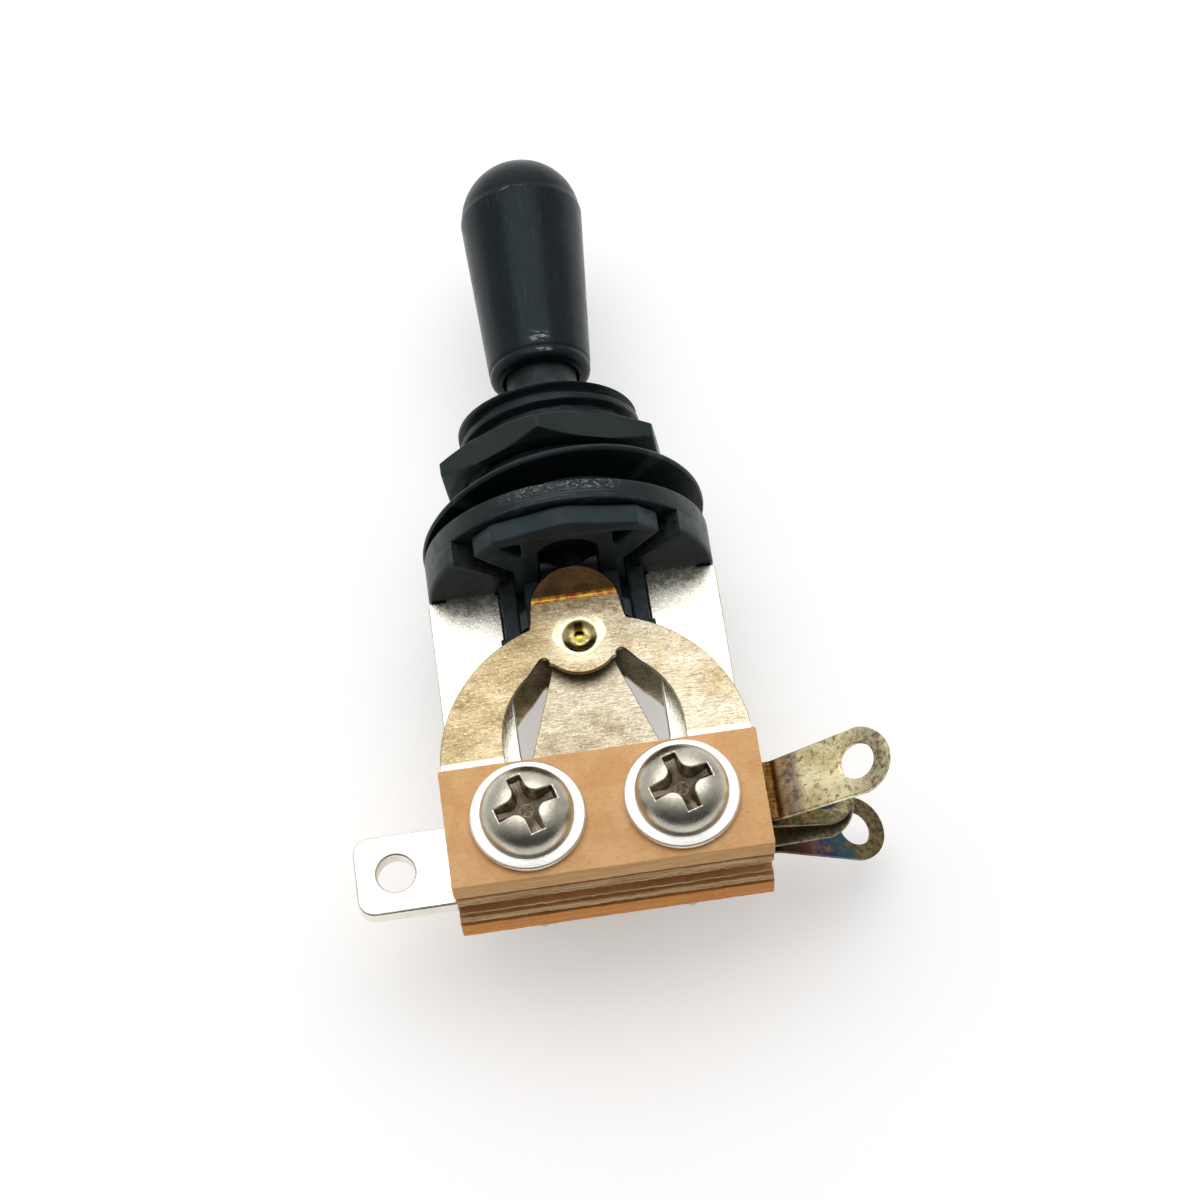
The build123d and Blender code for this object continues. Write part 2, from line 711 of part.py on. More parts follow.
# Each layer: near face, far face, half-width, top, low edge, screw hole radius
LAYERS = {
    "thin_insulator": (
        FRAME_FACE,
        TONGUE_NEAR,
        STACK_HALF - THIN_INSET,
        STACK_TOP,
        STACK_LOW + THIN_RISE,
        INNER_HOLE_R,
    ),
    "spacer_board": (
        TONGUE_FAR,
        LEAF_NEAR,
        STACK_HALF - SPACER_INSET,
        STACK_TOP - SPACER_DROP,
        STACK_LOW + SPACER_INSET,
        INNER_HOLE_R,
    ),
    "outer_board": (LEAF_FAR, BOARD_FAR, STACK_HALF, STACK_TOP, STACK_LOW, OUTER_HOLE_R),
}

LUG_Y = {"front": FRONT_LUG_Y, "rear": REAR_LUG_Y}
INNER_TURN = {"front": FRONT_INNER_LUG_TURN, "rear": REAR_INNER_LUG_TURN}
for half, side in HALVES.items():
    save(outer_terminal(side, LUG_Y[half]), f"{half}_leaf_terminal")
    save(outer_leaf(side), f"{half}_contact_leaf")
    save(contact_tongue(side, LUG_Y[half], INNER_TURN[half]), f"{half}_contact_tongue")
    save(turned_about_contact(side, LEAF_RIVET_PROFILE), f"{half}_leaf_contact")
    save(turned_about_contact(side, TONGUE_RIVET_PROFILE), f"{half}_tongue_contact")
    for layer_name, measures in LAYERS.items():
        save(board(side, *measures), f"{half}_{layer_name}")


# --- Clamp hardware -------------------------------------------------------------------------------
def ring(low, high, outer, inner, x):
    """A plain ring about one clamp screw."""
    with BuildPart() as piece:
        with BuildSketch(Plane.XY.offset(low)):
            with Locations((x, SCREW_Y)):
                Circle(outer)
                Circle(inner, mode=Mode.SUBTRACT)
        extrude(amount=high - low)
    return piece.part


def clamp_screw(x):
    """Pan-head screw with a cross recess."""
    seat = BOARD_FAR + HEAD_WASHER_T
    with BuildPart() as screw:
        with BuildSketch(Plane(origin=(x, SCREW_Y, 0), x_dir=(1, 0, 0), z_dir=(0, -1, 0))):
            with BuildLine():
                shank = Polyline(
                    (0, seat + HEAD_H),
                    (0, SCREW_TIP),
                    (SCREW_R - SCREW_POINT, SCREW_TIP),
                    (SCREW_R, SCREW_TIP + SCREW_POINT),
                    (SCREW_R, seat),
                    (HEAD_R, seat),
                    (HEAD_R, seat + HEAD_RIM),
                )
                ThreePointArc(shank @ 1, dome_middle(HEAD_R, seat + HEAD_RIM, seat + HEAD_H), shank @ 0)
            make_face()
        revolve(axis=Axis((x, SCREW_Y, 0), (0, 0, 1)))
        with BuildSketch(Plane.XY.offset(seat + HEAD_H - RECESS_DEPTH)):
            with Locations((x, SCREW_Y)):
                Rectangle(RECESS_SPAN, RECESS_W, rotation=RECESS_TURN)
                Rectangle(RECESS_SPAN, RECESS_W, rotation=RECESS_TURN + 90)
        extrude(amount=RECESS_DEPTH, mode=Mode.SUBTRACT)
    return screw.part


def clamp_nut(x):
    """Hexagon nut on the rear end of a clamp screw."""
    seat = -BOARD_FAR - HEAD_WASHER_T
    with BuildPart() as nut:
        with BuildSketch(Plane.XY.offset(seat - SMALL_NUT_T)):
            with Locations((x, SCREW_Y)):
                RegularPolygon(SMALL_NUT_AF / 2, 6, major_radius=False)
                Circle(HARDWARE_BORE, mode=Mode.SUBTRACT)
        extrude(amount=SMALL_NUT_T)
    return nut.part


for place, x in SCREW_SIDES.items():
    front_seat = BOARD_FAR
    rear_seat = -BOARD_FAR - HEAD_WASHER_T
    save(clamp_screw(x), f"clamp_screw_{place}")
    save(clamp_nut(x), f"clamp_nut_{place}")
    save(
        ring(front_seat, front_seat + HEAD_WASHER_T, HEAD_WASHER_R, HARDWARE_BORE, x),
        f"screw_washer_{place}",
    )
    save(
        ring(rear_seat, rear_seat + HEAD_WASHER_T, HEAD_WASHER_R, HARDWARE_BORE, x),
        f"nut_washer_{place}",
    )
    save(ring(-SLEEVE_HALF, SLEEVE_HALF, SLEEVE_OUT, SLEEVE_IN, x), f"insulating_sleeve_{place}")
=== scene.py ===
import json
from math import atan2, cos, floor, hypot, pi, radians, sin, sqrt, tan

import bmesh
import bpy
from mathutils import Matrix, Vector
from mathutils.geometry import tessellate_polygon
from mathutils.noise import noise as wave


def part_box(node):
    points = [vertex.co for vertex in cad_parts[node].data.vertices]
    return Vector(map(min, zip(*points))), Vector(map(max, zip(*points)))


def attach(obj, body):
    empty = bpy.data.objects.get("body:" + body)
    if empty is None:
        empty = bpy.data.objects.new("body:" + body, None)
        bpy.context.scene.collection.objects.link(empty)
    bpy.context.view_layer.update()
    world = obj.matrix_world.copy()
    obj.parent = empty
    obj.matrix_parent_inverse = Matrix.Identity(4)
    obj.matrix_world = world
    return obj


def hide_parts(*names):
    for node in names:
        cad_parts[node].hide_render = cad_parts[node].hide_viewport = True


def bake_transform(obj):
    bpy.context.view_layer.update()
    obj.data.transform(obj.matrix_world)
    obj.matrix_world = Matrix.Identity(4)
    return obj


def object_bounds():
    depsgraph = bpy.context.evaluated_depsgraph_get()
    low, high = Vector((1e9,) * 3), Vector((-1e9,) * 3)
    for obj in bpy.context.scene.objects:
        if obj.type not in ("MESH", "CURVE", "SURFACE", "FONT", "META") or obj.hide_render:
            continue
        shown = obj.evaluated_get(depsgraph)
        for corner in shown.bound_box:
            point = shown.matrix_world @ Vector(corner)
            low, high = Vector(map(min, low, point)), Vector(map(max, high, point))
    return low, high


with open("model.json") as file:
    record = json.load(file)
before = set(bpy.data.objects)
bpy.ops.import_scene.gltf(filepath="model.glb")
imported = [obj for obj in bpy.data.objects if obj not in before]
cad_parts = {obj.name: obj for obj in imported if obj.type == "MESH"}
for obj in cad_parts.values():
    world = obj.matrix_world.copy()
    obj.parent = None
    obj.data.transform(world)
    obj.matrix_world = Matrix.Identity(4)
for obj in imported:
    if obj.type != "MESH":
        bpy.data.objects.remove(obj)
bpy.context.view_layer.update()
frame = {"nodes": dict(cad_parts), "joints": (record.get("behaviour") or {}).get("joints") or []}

# Lengths in this file are millimetres, turned into metres by MM where a mesh is made.
MM = 0.001
ROUND_STEPS = 4
TURN_STEPS = 192
SHARP = radians(38)

# Axes used to place shapes: u and v span the outline, w is its thickness.
FLAT = ((1, 0, 0), (0, 1, 0), (0, 0, 1))
UPRIGHT = ((1, 0, 0), (0, 0, 1), (0, 1, 0))


def limits(node):
    """Lowest and highest corners of a CAD node in millimetres."""
    low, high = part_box(node)
    return low / MM, high / MM


def middle(node):
    """Middle of a CAD node in millimetres."""
    low, high = limits(node)
    return (low + high) / 2


# --- Outlines ---
def arc(centre, radius, start, end, steps):
    """Points from start to end, in degrees, on a circle."""
    turns = [radians(start + (end - start) * i / steps) for i in range(steps + 1)]
    return [(centre[0] + radius * cos(a), centre[1] + radius * sin(a)) for a in turns]


def circle(centre, radius, steps=72):
    """A closed circle, running clockwise as a hole does."""
    return arc(centre, radius, 360, 0, steps)[:-1]


def rounded(corners, steps=8):
    """Closed outline from (x, y, radius) corners, each corner turned on its own radius."""
    points = []
    for i, (x, y, radius) in enumerate(corners):
        if radius == 0:
            points.append((x, y))
            continue
        here = Vector((x, y))
        before = (Vector(corners[i - 1][:2]) - here).normalized()
        after = (Vector(corners[(i + 1) % len(corners)][:2]) - here).normalized()
        half = before.angle(after) / 2
        reach = radius / tan(half)
        centre = here + (before + after).normalized() * radius / sin(half)
        start = here + before * reach - centre
        end = here + after * reach - centre
        first = atan2(start.y, start.x)
        sweep = (atan2(end.y, end.x) - first + pi) % (2 * pi) - pi
        for k in range(steps + 1):
            a = first + sweep * k / steps
            points.append((centre.x + radius * cos(a), centre.y + radius * sin(a)))
    return points


def ragged(points, step, amount, seed):
    """The outline cut into short lengths, each point moved a little, as on a sawn or punched edge."""
    rough = []
    for i, here in enumerate(points):
        there = points[(i + 1) % len(points)]
        length = hypot(there[0] - here[0], there[1] - here[1])
        count = max(1, round(length / step))
        for k in range(count):
            x = here[0] + (there[0] - here[0]) * k / count
            y = here[1] + (there[1] - here[1]) * k / count
            push = amount * wave(Vector((x * 3.1, y * 3.1, seed)))
            pull = amount * wave(Vector((y * 3.1, x * 3.1, -seed)))
            rough.append((x + push, y + pull))
    return rough


def moved_in(loop, distance):
    """A loop moved to its left by distance, which is into the material."""
    if distance == 0:
        return loop
    count = len(loop)
    result = []
    for i in range(count):
        here = Vector(loop[i])
        before = (here - Vector(loop[i - 1])).normalized()
        after = (Vector(loop[(i + 1) % count]) - here).normalized()
        left = Vector((-before.y - after.y, before.x + after.x))
        if left.length < 1e-9:
            left = Vector((-after.y, after.x))
        left.normalize()
        share = max(0.35, left.dot(Vector((-after.y, after.x))))
        result.append(tuple(here + left * distance / share))
    return result


# --- Meshes ---
def placed(axes, u, v, w):
    """Point in row millimetres from outline coordinates."""
    return tuple(axes[0][i] * u + axes[1][i] * v + axes[2][i] * w for i in range(3))


def slab(loops, low, high, round_low=0.05, round_high=0.05, axes=FLAT):
    """Plate between two heights, edges rounded. The first loop runs anticlockwise, holes clockwise."""
    mesh = bmesh.new()
    rings = []
    for k in range(ROUND_STEPS + 1):
        a = pi / 2 * k / ROUND_STEPS
        rings.append((round_low * (1 - sin(a)), low + round_low * (1 - cos(a))))
    for k in range(ROUND_STEPS + 1):
        a = pi / 2 * k / ROUND_STEPS
        rings.append((round_high * (1 - cos(a)), high - round_high * (1 - sin(a))))
    made = []
    for inset, w in rings:
        moved = [moved_in(loop, inset) for loop in loops]
        made.append([[mesh.verts.new(placed(axes, u, v, w)) for u, v in loop] for loop in moved])
    for lower, upper in zip(made, made[1:]):
        for low_loop, high_loop in zip(lower, upper):
            count = len(low_loop)
            for i in range(count):
                j = (i + 1) % count
                mesh.faces.new((low_loop[i], low_loop[j], high_loop[j], high_loop[i]))
    for inset, level in ((round_low, made[0]), (round_high, made[-1])):
        moved = [moved_in(loop, inset) for loop in loops]
        verts = [vert for loop in level for vert in loop]
        for face in tessellate_polygon([[Vector((u, v, 0)) for u, v in loop] for loop in moved]):
            mesh.faces.new([verts[i] for i in face])
    return mesh


def turned(profile, radius=None, steps=TURN_STEPS, centre=(0, 0, 0), axes=UPRIGHT):
    """Closed profile of (radius, height) points turned about w. radius(angle, r, h) may reshape it."""
    mesh = bmesh.new()
    columns = []
    for k in range(steps):
        a = 2 * pi * k / steps
        column = []
        for r, h in profile:
            reach = radius(a, r, h) if radius else r
            point = placed(axes, reach * cos(a), reach * sin(a), h)
            column.append(mesh.verts.new(tuple(p + c for p, c in zip(point, centre))))
        columns.append(column)
    count = len(profile)
    for k, column in enumerate(columns):
        beside = columns[(k + 1) % steps]
        for i in range(count):
            j = (i + 1) % count
            if max(profile[i][0], profile[j][0]) > 0:
                mesh.faces.new((column[i], column[j], beside[j], beside[i]))
    return mesh


def along(start, end, steps):
    """Evenly spaced profile points from start up to end."""
    return [
        (start[0] + (end[0] - start[0]) * k / steps, start[1] + (end[1] - start[1]) * k / steps)
        for k in range(steps)
    ]


def cut_across(mesh, origin, direction, distances):
    """Divides the faces at planes across a direction, so that they can bend there."""
    for distance in distances:
        geometry = mesh.verts[:] + mesh.edges[:] + mesh.faces[:]
        place = Vector(origin) + Vector(direction) * distance
        bmesh.ops.bisect_plane(mesh, geom=geometry, dist=1e-5, plane_co=place, plane_no=direction)


def bend(mesh, origin, direction, up, radius, degrees):
    """Bends everything past origin towards up, about a line across direction."""
    origin, direction, up = Vector(origin), Vector(direction), Vector(up)
    angle = radians(degrees)
    arc_length = radius * angle
    cut_across(mesh, origin, direction, [arc_length * k / 6 for k in range(7)])
    for vert in mesh.verts:
        offset = vert.co - origin
        u = offset.dot(direction)
        if u <= 0:
            continue
        w = offset.dot(up)
        side = offset - direction * u - up * w
        turn = min(u / radius, angle)
        beyond = max(u - arc_length, 0)
        new_u = (radius - w) * sin(turn) + beyond * cos(turn)
        new_w = radius - (radius - w) * cos(turn) + beyond * sin(turn)
        vert.co = origin + side + direction * new_u + up * new_w


def joined(*meshes):
    """Several meshes as one."""
    whole = meshes[0]
    for extra in meshes[1:]:
        data = bpy.data.meshes.new("part")
        extra.to_mesh(data)
        whole.from_mesh(data)
        bpy.data.meshes.remove(data)
        extra.free()
    return whole


def piece(name, mesh, material, replaces, body="body", bends_at=None):
    """Makes the object, smooth with sharp edges kept, and ties it to its CAD body; when bends_at is given
    it is left in place, not tied.
    """
    bmesh.ops.remove_doubles(mesh, verts=mesh.verts[:], dist=1e-5)
    bmesh.ops.recalc_face_normals(mesh, faces=mesh.faces[:])
    bmesh.ops.scale(mesh, vec=(MM, MM, MM), verts=mesh.verts[:])
    data = bpy.data.meshes.new(name)
    mesh.to_mesh(data)
    mesh.free()
    data.shade_smooth()
    data.set_sharp_from_angle(angle=SHARP)
    data.materials.append(material)
    made = bpy.data.objects.new(name, data)
    bpy.context.scene.collection.objects.link(made)
    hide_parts(*replaces)
    if bends_at:
        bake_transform(made)
    else:
        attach(made, body)
    normals = made.modifiers.new("even_normals", "WEIGHTED_NORMAL")
    normals.keep_sharp = True
    return made


# --- Materials ---
def srgb(red, green, blue):
    """Linear colour from 0 to 255 screen values."""
    screen = [c / 255 for c in (red, green, blue)]
    return tuple(c / 12.92 if c <= 0.04045 else ((c + 0.055) / 1.055) ** 2.4 for c in screen) + (1.0,)


class Surface:
    """A procedural material under construction."""

    def __init__(self, name, **settings):
        self.material = bpy.data.materials.new(name)
        self.material.use_nodes = True
        self.nodes = self.material.node_tree.nodes
        self.links = self.material.node_tree.links
        self.shader = self.nodes["Principled BSDF"]
        for key, value in settings.items():
            self.shader.inputs[key.replace("_", " ")].default_value = value
        self.place = self.nodes.new("ShaderNodeTexCoord").outputs["Object"]

    def node(self, kind, inputs, **settings):
        """A node with its settings, its inputs given as values or as other nodes' outputs."""
        made = self.nodes.new(kind)
        for key, value in settings.items():
            setattr(made, key, value)
        for key, value in inputs.items():
            if isinstance(value, bpy.types.NodeSocket):
                self.links.new(value, made.inputs[key])
            else:
                made.inputs[key].default_value = value
        return made

    def noise(self, grain, detail=4.0, roughness=0.6, stretch=(1, 1, 1), shift=(0, 0, 0)):
        """Noise with features about grain millimetres wide, longer along an axis by its stretch."""
        scale = [1 / (grain * MM * s) for s in stretch]
        place = self.node("ShaderNodeMapping", {"Vector": self.place, "Scale": scale, "Location": shift})
        made = self.node(
            "ShaderNodeTexNoise",
            {"Vector": place.outputs[0], "Scale": 1.0, "Detail": detail, "Roughness": roughness},
        )
        return made.outputs["Fac"]

    def span(self, value, low, high, to_low=0.0, to_high=1.0):
        """The value stretched from one range to another, held at its ends."""
        made = self.node(
            "ShaderNodeMapRange",
            {"Value": value, "From Min": low, "From Max": high, "To Min": to_low, "To Max": to_high},
            interpolation_type="SMOOTHSTEP",
        )
        return made.outputs["Result"]

    def mix(self, share, first, second, blend="MIX"):
        """Two colours mixed by a share."""
        made = self.node("ShaderNodeMix", {}, data_type="RGBA", blend_type=blend)
        for socket, value in ((made.inputs[0], share), (made.inputs[6], first), (made.inputs[7], second)):
            if isinstance(value, bpy.types.NodeSocket):
                self.links.new(value, socket)
            else:
                socket.default_value = value
        return made.outputs[2]

    def maths(self, operation, first, second):
        """Arithmetic on two values."""
        made = self.node("ShaderNodeMath", {0: first, 1: second}, operation=operation)
        return made.outputs[0]

    def axis(self, index):
        """One coordinate of the surface point, in metres."""
        return self.node("ShaderNodeSeparateXYZ", {0: self.place}).outputs[index]

    def away(self, x, y):
        """Distance from a line along the row's Z through x and y, in millimetres."""
        across = self.maths("SUBTRACT", self.maths("DIVIDE", self.axis(0), MM), x)
        along_y = self.maths("SUBTRACT", self.maths("DIVIDE", self.axis(1), MM), y)
        squares = self.maths("ADD", self.maths("POWER", across, 2.0), self.maths("POWER", along_y, 2.0))
        return self.maths("POWER", squares, 0.5)

    def band(self, index, low, high, soft):
        """A mask that is one between two places on an axis, in millimetres, with soft ends."""
        place = self.axis(index)
        rise = self.span(place, (low - soft) * MM, (low + soft) * MM)
        fall = self.span(place, (high - soft) * MM, (high + soft) * MM, 1.0, 0.0)
        return self.maths("MULTIPLY", rise, fall)

    def tint(self, share, colour, other):
        """The colour turned to another by a share made of one or more masks multiplied together."""
        whole = share[0]
        for mask in share[1:]:
            whole = self.maths("MULTIPLY", whole, mask)
        return self.mix(whole, colour, other)

    def worn_edge(self, low, high):
        """A mask of the convex edges."""
        sharpness = self.node("ShaderNodeNewGeometry", {}).outputs["Pointiness"]
        return self.span(sharpness, low, high)

    def bump(self, height, depth, strength=1.0, after=None):
        """Surface relief, depth in millimetres."""
        inputs = {"Height": height, "Distance": depth * MM, "Strength": strength}
        if after:
            inputs["Normal"] = after
        return self.node("ShaderNodeBump", inputs).outputs["Normal"]

    def finish(self, colour=None, roughness=None, normal=None):
        """Joins the worked-out colour, roughness and relief to the shader."""
        for key, value in (("Base Color", colour), ("Roughness", roughness), ("Normal", normal)):
            if value is not None:
                self.links.new(value, self.shader.inputs[key])
        return self.material


def moulded_plastic(name, dark, light, gloss, grain=0.09, scuffed=None):
    """Moulded black or grey plastic: fine grain, faint flow marks, pale scuffs and rubbed edges."""
    s = Surface(name, Specular_IOR_Level=0.26, Specular_Tint=(0.75, 0.93, 1.0, 1.0))
    flow = s.noise(2.2, 3, 0.55)
    colour = s.mix(s.span(flow, 0.35, 0.7), dark, light)
    scuffs = s.span(s.noise(0.16, 5, 0.75, stretch=(3.0, 1, 1)), 0.64, 0.8)
    zones = s.span(s.noise(4.5, 2, 0.5), 0.5, 0.72)
    colour = s.tint((scuffs, zones), colour, srgb(96, 104, 106))
    if scuffed:
        low, high, half, front = scuffed
        here = (s.band(1, low, high, 0.12), s.band(0, -half, half, 1.6), s.band(2, front, 20, 0.4))
        rubbed = s.span(s.noise(0.15, 4, 0.75, stretch=(1.6, 1, 1)), 0.5, 0.64)
        colour = s.tint((*here, rubbed), colour, srgb(134, 140, 138))
        lines = s.span(s.noise(0.1, 2, 0.5, stretch=(40, 1, 40)), 0.52, 0.62, 0.0, 0.6)
        below = (s.band(1, low - 1.6, low, 0.2), s.band(0, -half, half, 2.2), s.band(2, front, 20, 0.4))
        colour = s.tint((*below, lines), colour, srgb(80, 90, 92))
    colour = s.tint((s.worn_edge(0.53, 0.62), s.span(s.noise(0.6, 3), 0.35, 0.6, 0.05, 0.35)), colour,
                    srgb(86, 94, 96))
    rough = s.span(s.noise(0.9, 4, 0.6), 0.3, 0.75, gloss, gloss + 0.16)
    fine = s.bump(s.noise(grain, 3, 0.6), 0.012, 0.55)
    return s.finish(colour, rough, s.bump(flow, 0.05, 0.35, fine))


def knob_plastic():
    """Glossier black of the tip, with hairline scratches, a rubbed spot near its lower rim, and painted
    glints on that rim and on the crease below the dome.
    """
    s = Surface("knob_plastic", Specular_IOR_Level=0.19, Specular_Tint=(0.75, 0.92, 1.0, 1.0))
    flow = s.noise(3.0, 2, 0.5)
    colour = s.mix(s.span(flow, 0.3, 0.7), srgb(19, 27, 29), srgb(25, 33, 36))
    hairs = s.span(s.noise(0.16, 2, 0.5, stretch=(1, 30, 1)), 0.55, 0.72, 0.0, 0.35)
    colour = s.tint((hairs, s.span(s.noise(2.5, 2), 0.4, 0.6)), colour, srgb(60, 72, 80))
    # Noise that breaks up the rubbed spot and the two painted glints.
    rubs_and_glints = s.span(s.noise(0.2, 4, 0.75, stretch=(3.4, 1, 1)), 0.48, 0.6)
    low_mark = ((13.65, 14.35, 0.15), (-0.3, 0.75, 0.3), srgb(156, 160, 160))
    # Painted glints: a pale band on the lower rim and one on the crease below the dome.
    rim_painted_glint = ((12.85, 13.1, 0.06), (-0.1, 0.9, 0.2), srgb(126, 130, 130))
    crease_painted_glint = ((25.3, 25.55, 0.1), (-1.0, 0.8, 0.3), srgb(120, 126, 128))
    for up, across, tone in (low_mark, rim_painted_glint, crease_painted_glint):
        front = (s.band(1, *up), s.band(0, *across), s.band(2, 2.0, 9.0, 0.3))
        colour = s.tint((*front, rubs_and_glints), colour, tone)
    scratches = s.noise(0.12, 3, 0.6, stretch=(1, 14, 1))
    rough = s.span(s.noise(1.4, 4, 0.65), 0.3, 0.75, 0.24, 0.36)
    fine = s.bump(scratches, 0.006, 0.35)
    return s.finish(colour, rough, s.bump(s.noise(0.2, 3, 0.5), 0.008, 0.3, fine))


def brushed_leaf(name, gold, pale, brown, tip_y=None):
    """Rolled spring strip: short streaks, golden tarnish and dark specks, with painted shade in dark brown
    on the tip and a painted orange glint along its fold.
    """
    s = Surface(name, Metallic=1.0)
    streaks = s.noise(0.09, 4, 0.75, stretch=(7, 1, 1))
    fine_streaks = s.noise(0.05, 3, 0.65, stretch=(5, 1, 1), shift=(3, 7, 1))
    patches = s.noise(2.4, 6, 0.66, stretch=(1.3, 1, 1), shift=(1.7, 0.4, 0))
    side = s.span(s.axis(0), -0.0095, 0.006)
    warmth = s.maths("SUBTRACT", s.maths("MULTIPLY", patches, 1.25), s.maths("MULTIPLY", side, 0.26))
    colour = s.mix(s.span(warmth, 0.2, 0.6), pale, gold)
    colour = s.mix(s.span(warmth, 0.5, 0.8, 0.0, 0.6), colour, brown)
    colour = s.mix(s.span(streaks, 0.42, 0.7, 0.0, 0.62), colour, brown)
    grain = s.noise(0.11, 4, 0.8, stretch=(1.8, 1, 1), shift=(4, 4, 2))
    colour = s.mix(s.span(grain, 0.54, 0.68, 0.0, 0.7), colour, srgb(255, 248, 212))
    colour = s.mix(s.span(grain, 0.45, 0.34, 0.0, 0.65), colour, srgb(112, 90, 58))
    rough = s.span(s.maths("ADD", streaks, s.maths("MULTIPLY", patches, 0.5)), 0.5, 1.1, 0.26, 0.5)
    if tip_y:
        # Painted shade: past its fold the tip turns dark brown.
        tip_painted_shade = s.span(s.axis(1), (tip_y + 0.1) * MM, (tip_y + 0.3) * MM)
        tip_shade_mottle = s.span(s.noise(0.9, 4, 0.6), 0.3, 0.7)
        colour = s.mix(tip_painted_shade, colour, s.mix(tip_shade_mottle, srgb(142, 108, 66), srgb(112, 86, 56)))
        # Painted glint: an orange to yellow band along the fold.
        fold_painted_glint = s.band(1, tip_y - 0.12, tip_y + 0.26, 0.05)
        shade = s.span(s.noise(0.5, 3, 0.6, shift=(2, 0, 5)), 0.4, 0.6)
        share = s.maths("MULTIPLY", fold_painted_glint, 0.85)
        colour = s.mix(share, colour, s.mix(shade, srgb(255, 206, 70), srgb(206, 84, 26)))
        spots = s.span(s.noise(0.34, 4, 0.75, stretch=(1.6, 1, 1)), 0.46, 0.58)
        below = s.band(1, tip_y - 1.6, tip_y - 0.1, 0.35)
        narrow = s.band(0, -3.0, 3.0, 0.2)
        grains = s.span(grain, 0.35, 0.6, 0.2, 0.9)
        colour = s.tint((spots, below, narrow, grains), colour, srgb(138, 100, 50))
        ring = s.away(0.0, CONTACT_Y)
        colour = s.mix(s.span(ring, 2.1, 1.5, 0.0, 0.5), colour, srgb(236, 224, 186))
    foot = s.span(s.axis(1), -0.01510, -0.01532)
    lines = s.span(streaks, 0.3, 0.55, 0.45, 0.95)
    colour = s.tint((foot, lines), colour, srgb(255, 252, 236))
    relief = s.bump(fine_streaks, 0.012, 0.7)
    return s.finish(colour, rough, s.bump(streaks, 0.02, 0.7, relief))


def speckled(s, colour, grain, low, high, share, other):
    """The colour with spots of another where a noise passes a level."""
    return s.mix(s.span(grain, low, high, 0.0, share), colour, other)


def outer_lug():
    """Upper lug: cream yellow with dark specks, a painted shadow of the board in dark brown at its root,
    mottled grey round its eye.
    """
    s = Surface("outer_lug", Metallic=1.0)
    patches = s.noise(1.3, 6, 0.7)
    grain = s.noise(0.34, 5, 0.78, stretch=(1.3, 1, 1))
    colour = s.mix(s.span(patches, 0.38, 0.62), srgb(252, 241, 196), srgb(218, 200, 150))
    colour = speckled(s, colour, grain, 0.5, 0.64, 0.8, srgb(100, 80, 46))
    violet = s.mix(s.span(grain, 0.4, 0.6), srgb(176, 160, 140), srgb(116, 98, 88))
    colour = s.tint((s.band(0, 10.9, 12.0, 0.3), s.span(patches, 0.3, 0.5, 0.5, 1.0)), colour, violet)
    # Painted shadow: the lug's root beside the board turns dark brown.
    root_painted_shadow = s.mix(s.span(grain, 0.38, 0.6), srgb(112, 78, 42), srgb(74, 52, 30))
    colour = s.mix(s.band(0, 9.0, 10.85, 0.25), colour, root_painted_shadow)
    eye = s.span(s.axis(0), 0.0146, 0.0166)
    mottle = s.mix(s.span(grain, 0.38, 0.62), srgb(196, 186, 158), srgb(104, 92, 70))
    colour = s.mix(s.maths("MULTIPLY", eye, 0.85), colour, mottle)
    rough = s.span(grain, 0.3, 0.7, 0.26, 0.5)
    return s.finish(colour, rough, s.bump(grain, 0.025, 0.7))


def inner_lug():
    """Second lug: dark olive grey with teal and purple clouds."""
    s = Surface("inner_lug", Metallic=1.0)
    clouds = s.noise(1.2, 4, 0.55, shift=(5, 2, 9))
    grain = s.noise(0.3, 5, 0.7)
    colour = s.mix(s.span(grain, 0.35, 0.65), srgb(158, 148, 118), srgb(88, 78, 56))
    colour = s.mix(s.span(clouds, 0.5, 0.62, 0.0, 0.6), colour, srgb(100, 116, 108))
    colour = s.mix(s.span(clouds, 0.44, 0.34, 0.0, 0.6), colour, srgb(120, 96, 96))
    rough = s.span(grain, 0.3, 0.7, 0.28, 0.5)
    return s.finish(colour, rough, s.bump(grain, 0.02, 0.6))


def rear_lug():
    """Third lug: brown at the root, then purple, blue and teal heat tints, olive round its eye."""
    s = Surface("rear_lug", Metallic=1.0)
    grain = s.noise(0.35, 5, 0.7)
    sway = s.maths("MULTIPLY", s.maths("SUBTRACT", s.noise(1.4, 4, 0.6), 0.5), 0.004)
    along_lug = s.maths("ADD", s.axis(0), sway)
    colour = s.mix(s.span(grain, 0.35, 0.65), srgb(138, 124, 90), srgb(78, 68, 46))
    steps = ((0.0116, 0.0123, srgb(84, 58, 48)), (0.0123, 0.0130, srgb(124, 84, 78)),
             (0.0130, 0.0137, srgb(50, 66, 100)), (0.0137, 0.0145, srgb(52, 92, 104)),
             (0.0149, 0.0156, srgb(118, 78, 84)))
    near_root = s.span(s.axis(0), 0.0158, 0.0148)
    tones = srgb(70, 50, 36)
    for low, high, tone in steps:
        tones = s.mix(s.span(along_lug, low, high), tones, tone)
    colour = s.tint((near_root, s.span(s.noise(0.8, 4, 0.6), 0.3, 0.55, 0.35, 0.95)), colour, tones)
    rough = s.span(grain, 0.3, 0.7, 0.26, 0.45)
    return s.finish(colour, rough, s.bump(grain, 0.02, 0.6))


